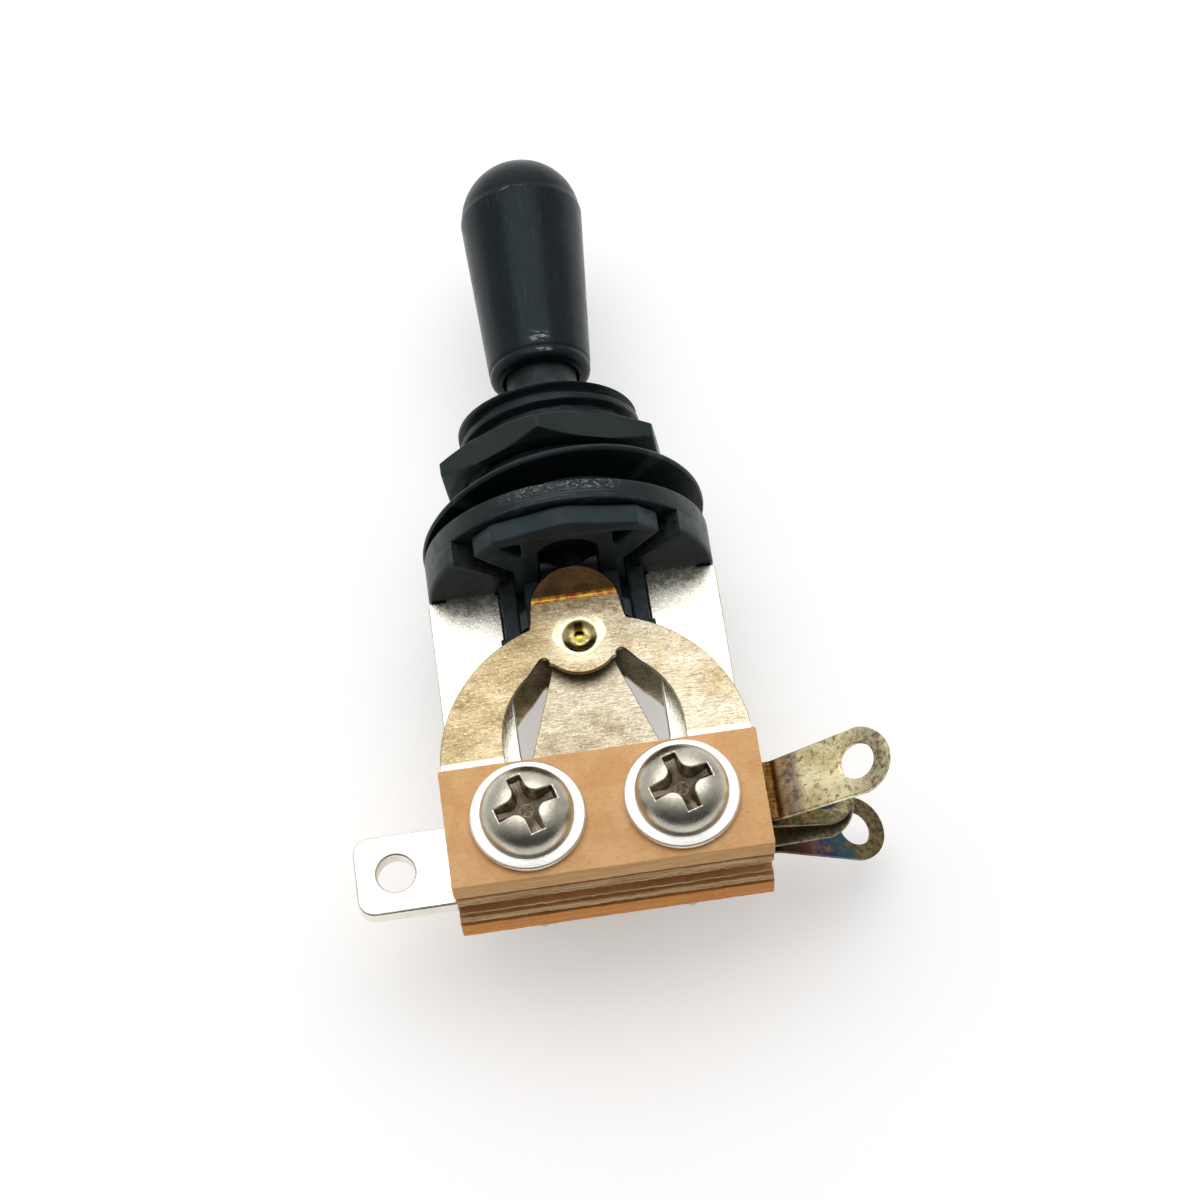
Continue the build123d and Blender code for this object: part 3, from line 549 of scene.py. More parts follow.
def nickel(name, light, dark, rough_low, rough_high, specks=0.5):
    """Bright nickel plate with slight cloudiness, pits and handling marks."""
    s = Surface(name, Metallic=1.0)
    cloud = s.noise(1.6, 4, 0.6)
    colour = s.mix(s.span(cloud, 0.35, 0.7), light, dark)
    pits = s.span(s.noise(0.16, 3, 0.65), 0.7, 0.77)
    colour = s.mix(s.maths("MULTIPLY", pits, specks), colour, srgb(84, 80, 70))
    grain = s.noise(0.13, 4, 0.75, stretch=(1, 1.8, 1))
    rough = s.span(s.noise(0.5, 4, 0.7), 0.3, 0.7, rough_low, rough_high)
    return s.finish(colour, rough, s.bump(grain, 0.022, 0.7))


def phenolic(name, face, deep, edge, dark_edge):
    """Paper phenolic board: mottled orange-tan faces and fine layered edges."""
    s = Surface(name, Specular_IOR_Level=0.3)
    cloud = s.noise(1.9, 5, 0.6)
    fibres = s.noise(0.13, 5, 0.8, stretch=(2.2, 1, 1))
    faces = s.mix(s.span(cloud, 0.35, 0.68), face, deep)
    faces = s.mix(s.span(fibres, 0.5, 0.72, 0.0, 0.5), faces, srgb(180, 124, 84))
    faces = s.mix(s.span(fibres, 0.46, 0.3, 0.0, 0.4), faces, srgb(240, 198, 148))
    flecks = s.span(s.noise(0.11, 3, 0.6, shift=(8, 1, 4)), 0.66, 0.74)
    faces = s.mix(s.maths("MULTIPLY", flecks, 0.6), faces, srgb(242, 216, 180))
    layers = s.noise(0.13, 5, 0.7, stretch=(22, 22, 1))
    sides = s.mix(s.span(layers, 0.38, 0.62), edge, dark_edge)
    crumbs = s.noise(0.16, 4, 0.75, stretch=(2.5, 2.5, 1))
    sides = s.mix(s.span(crumbs, 0.52, 0.7, 0.0, 0.6), sides, srgb(226, 196, 150))
    sides = s.mix(s.span(crumbs, 0.42, 0.3, 0.0, 0.5), sides, srgb(118, 80, 40))
    facing = s.node("ShaderNodeNewGeometry", {}).outputs["Normal"]
    upward = s.node("ShaderNodeSeparateXYZ", {0: facing}).outputs[2]
    level = s.span(s.maths("ABSOLUTE", upward, 0.0), 0.35, 0.8)
    colour = s.mix(level, sides, faces)
    rough = s.span(fibres, 0.3, 0.7, 0.48, 0.72)
    relief = s.bump(fibres, 0.03, 0.5)
    return s.finish(colour, rough, s.bump(layers, 0.05, 0.45, relief))


def rivet_metal(name, centre_y):
    """Contact metal: cream rolled rim, olive bowl with a dark wedge and a bright yellow middle."""
    s = Surface(name, Metallic=1.0)
    cloud = s.noise(0.4, 4, 0.6)
    distance = s.away(0.0, centre_y)
    rim = s.mix(s.span(cloud, 0.35, 0.7), srgb(236, 226, 194), srgb(214, 200, 158))
    bowl = s.mix(s.span(cloud, 0.35, 0.65), srgb(206, 190, 136), srgb(150, 132, 82))
    colour = s.mix(s.span(distance, 1.0, 1.2), bowl, rim)
    colour = s.mix(s.span(distance, 0.42, 0.26), colour, srgb(255, 246, 110))
    wedge = (s.band(1, centre_y + 0.2, centre_y + 1.0, 0.1), s.band(0, -0.3, 0.3, 0.12))
    colour = s.tint(wedge, colour, srgb(70, 52, 14))
    rough = s.span(cloud, 0.3, 0.7, 0.16, 0.34)
    return s.finish(colour, rough, s.bump(s.noise(0.12, 4, 0.6), 0.012, 0.6))


def nylon():
    """Natural nylon of the sleeves."""
    s = Surface("nylon", Subsurface_Weight=0.1, Specular_IOR_Level=0.4)
    cloud = s.noise(1.2, 3, 0.5)
    colour = s.mix(cloud, srgb(232, 228, 214), srgb(212, 206, 188))
    return s.finish(colour, s.span(cloud, 0.3, 0.7, 0.4, 0.55), s.bump(s.noise(0.2, 3, 0.5), 0.01, 0.4))


CONTACT_Y = middle("front_leaf_contact").y
TIP_FOLD_Y = -4.9
rim_marks = (-0.75, 0.2, 3.4, 7.0)
black = moulded_plastic("black_moulding", srgb(19, 26, 27), srgb(26, 33, 34), 0.32, 0.09, rim_marks)
nut_black = moulded_plastic("nut_moulding", srgb(34, 42, 41), srgb(40, 48, 47), 0.34)
washer_black = moulded_plastic("washer_moulding", srgb(18, 24, 26), srgb(24, 31, 33), 0.32)
grey = moulded_plastic("grey_moulding", srgb(36, 46, 50), srgb(45, 56, 60), 0.42)
lever_black = moulded_plastic("lever_moulding", srgb(30, 34, 35), srgb(66, 70, 70), 0.36)
knob_black = knob_plastic()
leaf_metal = brushed_leaf(
    "leaf_strip", srgb(190, 171, 133), srgb(208, 200, 180), srgb(130, 108, 74), TIP_FOLD_Y
)
tongue_metal = brushed_leaf("tongue_strip", srgb(184, 172, 148), srgb(200, 192, 174), srgb(132, 116, 92))
outer_lug_metal = outer_lug()
inner_lug_metal = inner_lug()
rear_lug_metal = rear_lug()
plate_metal = nickel("bright_nickel", srgb(242, 240, 228), srgb(226, 223, 208), 0.2, 0.34)
washer_metal = nickel("washer_nickel", srgb(250, 249, 244), srgb(240, 238, 231), 0.26, 0.38, 0.2)
screw_metal = nickel("screw_nickel", srgb(212, 208, 194), srgb(184, 179, 163), 0.16, 0.28)
# Painted shade: darker nickel for the deep faces of the screw's cross recess.
recess_painted_shade = nickel("recess_nickel_painted_shade", srgb(176, 164, 146), srgb(122, 110, 94), 0.22, 0.4)
# Painted highlight: pale nickel for the shallow rim faces of the recess.
recess_rim_painted_highlight = nickel("recess_rim_highlight_nickel", srgb(255, 252, 240), srgb(236, 230, 212), 0.3, 0.42, 0.2)
steel = nickel("ground_steel", srgb(170, 170, 172), srgb(140, 140, 144), 0.2, 0.3)
rivet = rivet_metal("rolled_rivet", CONTACT_Y)
front_board = phenolic(
    "front_phenolic", srgb(240, 190, 132), srgb(230, 174, 114), srgb(228, 178, 114), srgb(204, 152, 90)
)
# Painted shade: the rear boards take darker, more orange colours for the shade they lie in near the table.
rear_board_painted_shade = phenolic(
    "rear_phenolic_painted_shade", srgb(206, 146, 84), srgb(190, 128, 66), srgb(238, 156, 62), srgb(212, 128, 40)
)
inner_board = phenolic(
    "inner_phenolic", srgb(206, 160, 108), srgb(190, 142, 90), srgb(216, 180, 124), srgb(146, 106, 56)
)
sleeve_nylon = nylon()


# --- Bushing with its thread, flange and stems ---
bushing_low, bushing_high = limits("bushing_body")
FLANGE_R = bushing_high.x
BUSHING_TOP = bushing_high.y
THREAD_R = 6.0
THREAD_PITCH = 1.25
THREAD_DEPTH = 0.56
THREAD_FROM = 1.4
THREAD_TO = 9.0
FLANGE_T = 2.97
WEB_T = 1.5


def thread(angle, r, h):
    """Radius of a right-hand rounded thread, fading in and out at its ends."""
    if r < THREAD_R - 0.1 or r > THREAD_R + 0.1 or not THREAD_FROM < h < THREAD_TO:
        return r
    turn = h / THREAD_PITCH + angle / (2 * pi)
    phase = abs(2 * (turn - floor(turn)) - 1)
    depth = max(0, min(1, (phase - 0.28) / 0.5))
    fade = min(1, (h - THREAD_FROM) / 0.9, (THREAD_TO - h) / 0.55)
    return r - THREAD_DEPTH * depth * depth * (3 - 2 * depth) * fade


def make_bushing():
    """Collar, flange web, two flange wings, stems and their hooks."""
    collar_profile = [(2.95, -WEB_T), (2.9, 0.0), (4.36, 8.95), (4.5, 9.15), (4.65, BUSHING_TOP)]
    collar_profile += [(5.45, BUSHING_TOP), (5.68, 9.1), (5.92, 8.95)]
    collar_profile += [(r, h) for r, h in along((THREAD_R, 8.9), (THREAD_R, 0.35), 120)]
    collar_profile += [(6.05, 0.12), (6.2, 0.02), (6.5, 0.0), (6.8, 0.0)]
    collar_profile += [(FLANGE_R - 0.55, 0.0), (FLANGE_R - 0.32, 0.0)]
    collar_profile += [(FLANGE_R - 0.18, -0.02), (FLANGE_R - 0.06, -0.1), (FLANGE_R, -0.28)]
    collar_profile += [(FLANGE_R, -WEB_T + 0.08), (FLANGE_R - 0.08, -WEB_T)]
    collar = turned(collar_profile, thread)
    parts = [collar]
    waist_x, waist_z, mouth_x = 4.0, 2.5, 7.2
    mouth_reach = sqrt(FLANGE_R**2 - mouth_x**2)
    edge = atan2(mouth_reach, mouth_x) * 180 / pi
    for side in (1, -1):
        rim = arc((0, 0), FLANGE_R, -edge, edge, 40)
        if side < 0:
            rim = arc((0, 0), FLANGE_R, 180 - edge, 180 + edge, 40)
        slot = [(waist_x, waist_z), (waist_x, -waist_z)]
        if side < 0:
            slot = [(-x, -z) for x, z in slot]
        parts.append(slab([rim + slot], -FLANGE_T, -WEB_T + 0.06, 0.22, 0.0, UPRIGHT))
    for side in (1, -1):
        stem = rounded([(3.6, -1.6, 0.2), (4.62, -1.6, 0.2), (4.62, 1.6, 0.2), (3.6, 1.6, 0.2)], 4)
        stem = stem if side > 0 else [(-x, z) for x, z in reversed(stem)]
        parts.append(slab([stem], bushing_low.y, -WEB_T, 0.15, 0.0, UPRIGHT))
        for face in (1, -1):
            hook = rounded([(4.3, 0.75, 0.1), (4.97, 0.75, 0.15), (4.97, 1.3, 0.15), (4.3, 1.3, 0.1)], 3)
            hook = [(side * x, face * z) for x, z in hook]
            if side * face < 0:
                hook.reverse()
            parts.append(slab([hook], bushing_low.y + 0.02, bushing_low.y + 0.82, 0.12, 0.12, UPRIGHT))
    return joined(*parts)


piece("bushing_moulding", make_bushing(), black, ["bushing_body"])


# --- Hex nut ---
def hexagon(flats, turn, chamfer_r, low, high, soften=0.12):
    """Radius function of a hexagon nut with turned-down corners."""

    def radius(angle, r, h):
        if r < flats / 2 - 0.6:
            return r
        local = (angle - turn + pi / 6) % (pi / 3) - pi / 6
        flat = min(r, flats / 2 / cos(local))
        inward = min(h - low, high - h)
        cone = chamfer_r + inward * 2.1
        gap = max(soften - abs(flat - cone), 0) / soften
        return min(flat, cone) - gap * gap * soften / 4

    return radius


nut_low, nut_high = limits("hex_nut")
NUT_FLATS = 14.0
NUT_TURN = radians(5.7)


def make_nut():
    """Plastic nut with rounded faces and a plain bore."""
    reach = NUT_FLATS / 2 / cos(pi / 6) + 0.2
    chamfer = 7.2
    profile = [(6.3, nut_low.y + 0.02), (6.6, nut_low.y)] + along((6.7, nut_low.y), (chamfer, nut_low.y), 3)
    profile += along((reach, nut_low.y + 0.02), (reach, nut_high.y - 0.02), 40)
    profile += along((chamfer, nut_high.y), (6.7, nut_high.y), 3)
    profile += [(6.6, nut_high.y), (6.3, nut_high.y - 0.02), (6.06, nut_high.y - 0.25)]
    profile += [(6.06, nut_low.y + 0.25)]
    shape = hexagon(NUT_FLATS, NUT_TURN, chamfer - 0.1, nut_low.y, nut_high.y)
    return turned(profile, shape, 360)


piece("nut_moulding", make_nut(), nut_black, ["hex_nut"], "nut")


# --- Panel washer, thin enough to bow ---
def make_panel_washer():
    """Loose flat washer, lifted at the front and right and slightly bowed."""
    inner, outer, half = 6.4, limits("panel_washer")[1].x, 0.2
    profile = [(inner, -half), (inner + 0.15, -half), (outer - 0.3, -half), (outer - 0.1, -half)]
    profile += [(outer - 0.02, -half / 2), (outer, 0), (outer - 0.02, half / 2), (outer - 0.1, half)]
    profile += [(outer - 0.3, half), (inner + 0.15, half), (inner, half)]
    mesh = turned(profile)
    for vert in mesh.verts:
        x, z = vert.co.x / outer, vert.co.z / outer
        vert.co.y += 1.1 + 0.78 * x + 0.78 * z - 0.12 * (x * x - z * z)
    return mesh


piece("washer_moulding", make_panel_washer(), washer_black, ["panel_washer"], "washer")


# --- Lever retainer ---
def make_retainer():
    """Bow-tie plate with a slot for the lever, moulded pockets and two cheeks."""
    low, high = limits("lever_retainer")
    waist_x, waist_z, wing_x, wing_z = 3.1, 2.5, 5.95, 6.2
    reach = high.z - 0.15
    wing_end = sqrt(reach**2 - 4.6**2)
    quarter = [(waist_x, waist_z, 0.3), (wing_x, wing_z, 0.3), (4.6, wing_end, 0.5)]
    front = quarter + [(0, reach, 3.0)] + [(-x, z, r) for x, z, r in reversed(quarter)]
    outline = rounded(front + [(-x, -z, r) for x, z, r in front], 6)
    slot = arc((0, 4.75), 1.95, 0, 180, 24) + arc((0, -4.75), 1.95, 180, 360, 24)
    slot.reverse()
    pockets = []
    for turn_x in (1, -1):
        for turn_z in (1, -1):
            corners = [(2.9, 4.8, 0.2), (4.4, 6.7, 0.2), (2.9, 7.0, 0.2)]
            if turn_x * turn_z > 0:
                corners.reverse()
            pockets.append(rounded([(turn_x * x, turn_z * z, r) for x, z, r in corners], 4))
    plate_low = high.y - 1.4
    upper = slab([outline, slot], plate_low + 0.8, high.y, 0.0, 0.2, UPRIGHT)
    lower = slab([outline, slot] + pockets, plate_low, plate_low + 0.8, 0.16, 0.0, UPRIGHT)
    parts = [upper, lower]
    for side in (1, -1):
        cheek = rounded([(1.95, -1.5, 0.25), (3.1, -1.5, 0.25), (3.1, 1.5, 0.25), (1.95, 1.5, 0.25)], 4)
        cheek = cheek if side > 0 else [(-x, z) for x, z in reversed(cheek)]
        parts.append(slab([cheek], low.y, plate_low + 0.1, 0.25, 0.0, UPRIGHT))
    return joined(*parts)


piece("retainer_moulding", make_retainer(), grey, ["lever_retainer"])


# --- Knob ---
KNOB_LEAN = 0.019


def make_knob():
    """Tapered tip with a domed end, a crease below the dome and a grooved lower rim."""
    low, high = limits("lever_knob")
    wide_y, crease_y, crease_r, wide_r, top_y = 25.2, 25.6, 4.06, high.x, high.y - 0.35
    profile = [(2.45, low.y + 0.9), (2.5, low.y + 0.12), (2.6, low.y)]
    profile += [(2.95, low.y), (3.16, low.y + 0.07), (3.3, low.y + 0.22), (3.37, low.y + 0.45)]
    profile += [(3.38, low.y + 0.66), (3.34, low.y + 0.74), (3.35, low.y + 0.82), (3.41, low.y + 0.9)]
    profile += along((3.43, low.y + 1.1), (wide_r, wide_y), 24)
    profile += [(wide_r, wide_y), (wide_r - 0.01, wide_y + 0.12), (wide_r - 0.035, wide_y + 0.25)]
    rise = top_y - crease_y
    arc_r = (crease_r**2 + rise**2) / (2 * rise)
    start = atan2(arc_r - rise, crease_r) if arc_r > rise else 0
    for k in range(25):
        a = start + (pi / 2 - start) * k / 24
        profile.append((arc_r * cos(a) if k < 24 else 0, top_y - arc_r + arc_r * sin(a)))
    profile.append((0, low.y + 0.9))
    mesh = turned(profile)
    for vert in mesh.verts:
        vert.co.x += KNOB_LEAN * (vert.co.y - low.y)
    return mesh


piece("knob_moulding", make_knob(), knob_black, ["lever_knob"], "lever")


# --- Frame plate with its ground tab ---
SCREW_X = middle("clamp_screw_right").x
SCREW_Y = middle("clamp_screw_right").y


def make_frame_plate():
    """Blanked nickel plate: legs beside the leaf, a window for it, and the ground tab."""
    low, high = limits("frame_plate")
    half, shoulder, foot, leg, window_foot = 9.35, -3.0, -22.8, 4.7, -15.8
    tab_top, tab_hole = -18.45, (-13.35, -21.05)
    outline = [(-half, shoulder, 0.3), (-half, tab_top, 0.25), (low.x, tab_top, 1.1), (low.x, low.y, 1.1)]
    outline += [(-9.75, low.y, 0.1), (-9.75, foot, 0.1), (half, foot, 0.2), (half, shoulder, 0.3)]
    outline += [(8.2, shoulder, 0.0), (8.2, high.y, 0.1), (4.9, high.y, 0.1), (4.9, shoulder, 0.0)]
    outline += [(leg, shoulder - 0.1, 0.0), (leg, window_foot, 1.5)]
    outline += [(-leg, window_foot, 1.5), (-leg, shoulder - 0.1, 0.0)]
    outline += [(-4.9, shoulder, 0.0), (-4.9, high.y, 0.1), (-8.2, high.y, 0.1), (-8.2, shoulder, 0.0)]
    holes = [circle((x, SCREW_Y), 2.15) for x in (-SCREW_X, SCREW_X)] + [circle(tab_hole, 1.2)]
    return slab([rounded(outline)] + holes, low.z, high.z, 0.06, 0.15)


piece("nickel_frame", make_frame_plate(), plate_metal, ["frame_plate"])

# --- Spring leaves and tongues ---
LEAF_R = 9.78
LEAF_CENTRE = (0, -15.99)
LUG_FROM = 9.85
LUG_HALF = 1.9
LUG_END_R = 2.15
LUG_HOLE_R = 1.15


def lug_outline(bend_x, lug_y, reach, lower_x, end_r=LUG_END_R):
    """Right-hand part of a strip outline: up the side, out round the lug's eye, and back."""
    tip = arc((bend_x + reach, lug_y - LUG_END_R + end_r), end_r, -84, 84, 28)
    return [(lower_x, lug_y - LUG_HALF)] + tip + [(lower_x, lug_y + LUG_HALF)]


def mirrored(mesh, side):
    """The mesh for the rear half, which mirrors the front one."""
    if side < 0:
        bmesh.ops.scale(mesh, vec=(1, 1, -1), verts=mesh.verts[:])
    return mesh


def make_leaf(side, lug_y):
    """Outer leaf in one strip: clamped strap, lug, arch, contact lobe and flared tip."""
    near, far = 2.05, 2.4
    mid = (near + far) / 2
    strap_low, bend_x, reach, flare = -23.2, 10.35, 5.95, 29
    outline = [(-LEAF_R, strap_low), (LEAF_R, strap_low)]
    outline += lug_outline(bend_x, lug_y, reach, LEAF_R)
    root_angle = 71.5
    outline += arc(LEAF_CENTRE, LEAF_R, 4, root_angle, 48)
    outline += [(2.98, -6.25), (2.9, -5.6), (2.76, -4.72)]
    outline += arc((0, -5.67), 2.92, 19, 161, 40)
    outline += [(-2.76, -4.72), (-2.9, -5.6), (-2.98, -6.25)]
    outline += arc(LEAF_CENTRE, LEAF_R, 180 - root_angle, 176, 48)
    window = [(-5.7, -17.2), (-5.7, -14.4)]
    window += arc((0, -14.4), 5.7, 178, 129, 24)
    window += arc((-2.48, -9.2), 0.37, 128, -12, 10)
    window += arc((0, CONTACT_Y), 2.55, 223, 317, 28)
    window += arc((2.48, -9.2), 0.37, 192, 52, 10)
    window += arc((0, -14.4), 5.7, 51, 2, 24)
    window += [(5.7, -14.4), (5.7, -17.2)]
    holes = [window, circle((0, CONTACT_Y), 1.35), circle((bend_x + reach, lug_y), LUG_HOLE_R)]
    holes += [circle((x, SCREW_Y), 2.15) for x in (-SCREW_X, SCREW_X)]
    mesh = slab([outline] + holes, near, far, 0.03, 0.07)
    cut_across(mesh, (LUG_FROM, 0, 0), (1, 0, 0), [0])
    bend(mesh, (bend_x, 0, mid), (1, 0, 0), (0, 0, 1), 0.6, flare)
    bend(mesh, (0, TIP_FOLD_Y, mid), (0, 1, 0), (0, 0, 1), 0.45, 35)
    bend(mesh, (0, -15.3, mid), (0, 1, 0), (0, 0, -1), 2.0, 7.2)
    bend(mesh, (0, -16.45, mid), (0, 1, 0), (0, 0, 1), 1.5, 6.2)
    return mirrored(mesh, side)


def make_tongue(side, lug_y, turn):
    """Inner contact strip: strap, lug and the tapering tongue under the leaf."""
    near, far = 0.9, 1.2
    mid = (near + far) / 2
    strap_low, bend_x, reach, shoulder = -23.2, 10.3, 3.2, -16.4
    outline = [(-LEAF_R, strap_low), (LEAF_R, strap_low)]
    outline += lug_outline(bend_x, lug_y, reach, LEAF_R, 1.95)
    outline += [(LEAF_R, shoulder), (4.25, shoulder), (4.1, -15.3)]
    outline += arc((0, -7.95), 1.5, 18, 162, 24)
    outline += [(-4.1, -15.3), (-4.25, shoulder), (-LEAF_R, shoulder)]
    holes = [circle((bend_x + reach, lug_y), LUG_HOLE_R)]
    holes += [circle((x, SCREW_Y), 2.15) for x in (-SCREW_X, SCREW_X)]
    mesh = slab([outline] + holes, near, far, 0.04, 0.06)
    cut_across(mesh, (LUG_FROM, 0, 0), (1, 0, 0), [0])
    bend(mesh, (bend_x, 0, mid), (1, 0, 0), (0, 0, -1), 0.8, turn)
    bend(mesh, (0, -15.2, mid), (0, 1, 0), (0, 0, -1), 2.0, 5.2)
    bend(mesh, (0, -16.5, mid), (0, 1, 0), (0, 0, 1), 1.5, 4.6)
    return mirrored(mesh, side)


def make_rivet(side):
    """Riveted contact: rolled ring round a bowl outside, shallow head inside."""
    profile = [(0, 1.79), (0.66, 1.79), (0.95, 1.84), (1.1, 1.94), (1.12, 2.06), (1.32, 2.1), (1.34, 2.36)]
    profile += [(1.72, 2.396), (1.6, 2.401), (1.46, 2.407), (1.34, 2.412), (1.24, 2.414), (1.15, 2.408)]
    profile += [(1.06, 2.38), (0.96, 2.32), (0.84, 2.25), (0.68, 2.17), (0.5, 2.13), (0.38, 2.14)]
    profile += [(0.26, 2.2), (0.13, 2.26), (0, 2.28)]
    mesh = turned(profile, None, 96, (0, CONTACT_Y, 0), FLAT)
    return mirrored(mesh, side)


for half, side, lug_y, inner_turn in (("front", 1, -19.85, 6), ("rear", -1, -20.3, 13)):
    hinge = next(j for j in frame["joints"] if j["name"] == f"{half}_leaf_flex")["pos_m"]
    hinge_y = hinge[1] / MM
    leaf = piece(
        f"{half}_leaf_strip",
        make_leaf(side, lug_y),
        leaf_metal,
        [f"{half}_contact_leaf", f"{half}_leaf_terminal"],
        f"{half}_leaf",
        ((0, hinge_y - 0.9, 0), (0, hinge_y + 0.9, 0)),
    )
    tongue = piece(
        f"{half}_tongue_strip",
        make_tongue(side, lug_y, inner_turn),
        tongue_metal,
        [f"{half}_contact_tongue"],
    )
    leaf.data.materials.append(outer_lug_metal if side > 0 else rear_lug_metal)
    tongue.data.materials.append(inner_lug_metal)
    for strip in (leaf, tongue):
        for face in strip.data.polygons:
            if face.center.x > LUG_FROM * MM:
                face.material_index = 1
    piece(
        f"{half}_rolled_contact",
        make_rivet(side),
        rivet,
        [f"{half}_leaf_contact"],
        f"{half}_leaf",
    )


# --- Insulating boards ---
def make_board(node, hole_r, rough, seed):
    """One board of the stack, its sawn edges slightly uneven."""
    low, high = limits(node)
    corners = [(low.x, low.y, 0.12), (high.x, low.y, 0.12), (high.x, high.y, 0.12), (low.x, high.y, 0.12)]
    outline = ragged(rounded(corners, 3), 0.25, rough, seed)
    holes = [circle((x, SCREW_Y), hole_r) for x in (-SCREW_X, SCREW_X)]
    return slab([outline] + holes, low.z, high.z, 0.05, 0.05)


for half, outer in (("front", front_board), ("rear", rear_board_painted_shade)):
    layers = (("outer_board", outer, 1.65, 0.025), ("spacer_board", inner_board, 2.15, 0.06),
              ("thin_insulator", inner_board, 2.15, 0.06))
    for seed, (layer, material, hole_r, rough) in enumerate(layers):
        node = f"{half}_{layer}"
        mesh = make_board(node, hole_r, rough, seed + (0.5 if half == "rear" else 0))
        piece(f"{half}_{layer}_sheet", mesh, material, [node])


# --- Clamp screws, nuts and washers ---
SCREW_PITCH = 0.5
RECESS_TURN = radians(17)


def cross_recess(u, v):
    """Depth of a cross recess at a point of the head: wide arms, filleted inner corners, sloping walls."""
    x = u * cos(RECESS_TURN) + v * sin(RECESS_TURN)
    y = v * cos(RECESS_TURN) - u * sin(RECESS_TURN)
    long, short = max(abs(x), abs(y)), min(abs(x), abs(y))
    half_arm, half_span, fillet = 0.5, 1.98, 0.62
    corner = half_arm + fillet
    if long < corner:
        inside = hypot(corner - long, corner - short) - fillet
    else:
        inside = min(half_arm - short, half_span - long)
    if inside <= 0:
        return 0
    distance = hypot(u, v)
    floor_depth = 1.75 - 0.55 * distance - 0.3 * short - max(0, 0.45 - 1.1 * distance)
    chamfer = 0.07
    return min(min(inside, chamfer) + max(inside - chamfer, 0) * 5.5, floor_depth)


def make_screw(x):
    """Pan-head cross-recess screw with a turned-down brim and a threaded shank."""
    low, high = limits("clamp_screw_right")
    seat = limits("screw_washer_right")[1].z
    radius, rise = (high.x - low.x) / 2, high.z - seat
    mesh = bmesh.new()
    ring_count, steps = 96, 320
    rings = []
    for i in range(ring_count + 1):
        r = radius * i / ring_count
        ring = []
        for k in range(steps if i else 1):
            a = 2 * pi * k / steps
            u, v = r * cos(a), r * sin(a)
            dome = 0.45 + (rise - 0.45) * (1 - (r / radius) ** 2.9) ** 0.56
            height = seat + dome - cross_recess(u, v)
            ring.append(mesh.verts.new((x + u, SCREW_Y + v, height)))
        rings.append(ring)
    for w in (0.3, 0.1, 0.0):
        r = radius - (0.12 if w == 0.0 else 0)
        ring = []
        for k in range(steps):
            a = 2 * pi * k / steps
            ring.append(mesh.verts.new((x + r * cos(a), SCREW_Y + r * sin(a), seat + w)))
        rings.append(ring)
    for k in range(steps):
        mesh.faces.new((rings[0][0], rings[1][k], rings[1][(k + 1) % steps]))
        for inner, outer in zip(rings[1:], rings[2:]):
            mesh.faces.new((inner[k], outer[k], outer[(k + 1) % steps], inner[(k + 1) % steps]))
    mesh.faces.new(rings[-1])
    # Deep recess faces take the painted-shade nickel, shallow rim faces the painted-highlight nickel.
    for face in mesh.faces:
        spot = face.calc_center_median()
        depth = cross_recess(spot.x - x, spot.y - SCREW_Y)
        if depth > 0:
            face.material_index = 1 if depth > 0.09 else 2

    def shank_thread(angle, r, h):
        if r < 1.4:
            return r
        turn = h / SCREW_PITCH + angle / (2 * pi)
        return r - 0.26 * abs(2 * (turn - floor(turn)) - 1)

    shank = [(0, seat + 0.05), (0, low.z), (1.1, low.z), (1.25, low.z + 0.1)]
    shank += along((1.5, low.z + 0.3), (1.5, seat + 0.05), 150)
    return joined(mesh, turned(shank, shank_thread, 48, (x, SCREW_Y, 0), FLAT))


def make_small_nut(x):
    """Hexagon nut behind the stack."""
    low, high = limits("clamp_nut_right")
    flats = high.y - low.y
    reach = flats / 2 / cos(pi / 6) + 0.1
    profile = [(1.56, low.z + 0.2), (1.8, low.z)] + along((2.2, low.z), (2.6, low.z), 3)
    profile += along((reach, low.z + 0.02), (reach, high.z - 0.02), 30)
    profile += along((2.6, high.z), (2.2, high.z), 3) + [(1.8, high.z), (1.56, high.z - 0.2)]
    shape = hexagon(flats, 0, 2.62, low.z, high.z, 0.08)
    return turned(profile, shape, 180, (x, SCREW_Y, 0), FLAT)


def make_washer(node):
    """Plain washer with a rolled outer edge."""
    low, high = limits(node)
    centre = (low + high) / 2
    outer, inner = (high.x - low.x) / 2, 1.6
    profile = [(inner, low.z), (outer - 0.12, low.z), (outer - 0.02, low.z + 0.1), (outer, low.z + 0.22)]
    profile += [(outer - 0.01, high.z - 0.12), (outer - 0.05, high.z - 0.04), (outer - 0.13, high.z)]
    profile += [(inner, high.z)]
    return turned(profile, None, 144, (centre.x, centre.y, 0), FLAT)


for place, x in (("left", -SCREW_X), ("right", SCREW_X)):
    screw = piece(f"pan_screw_{place}", make_screw(x), screw_metal, [f"clamp_screw_{place}"])
    screw.data.materials.append(recess_painted_shade)
    screw.data.materials.append(recess_rim_painted_highlight)
    piece(f"hex_nut_{place}", make_small_nut(x), screw_metal, [f"clamp_nut_{place}"])
    for kind in ("screw_washer", "nut_washer"):
        node = f"{kind}_{place}"
        piece(f"{node}_ring", make_washer(node), washer_metal, [node])


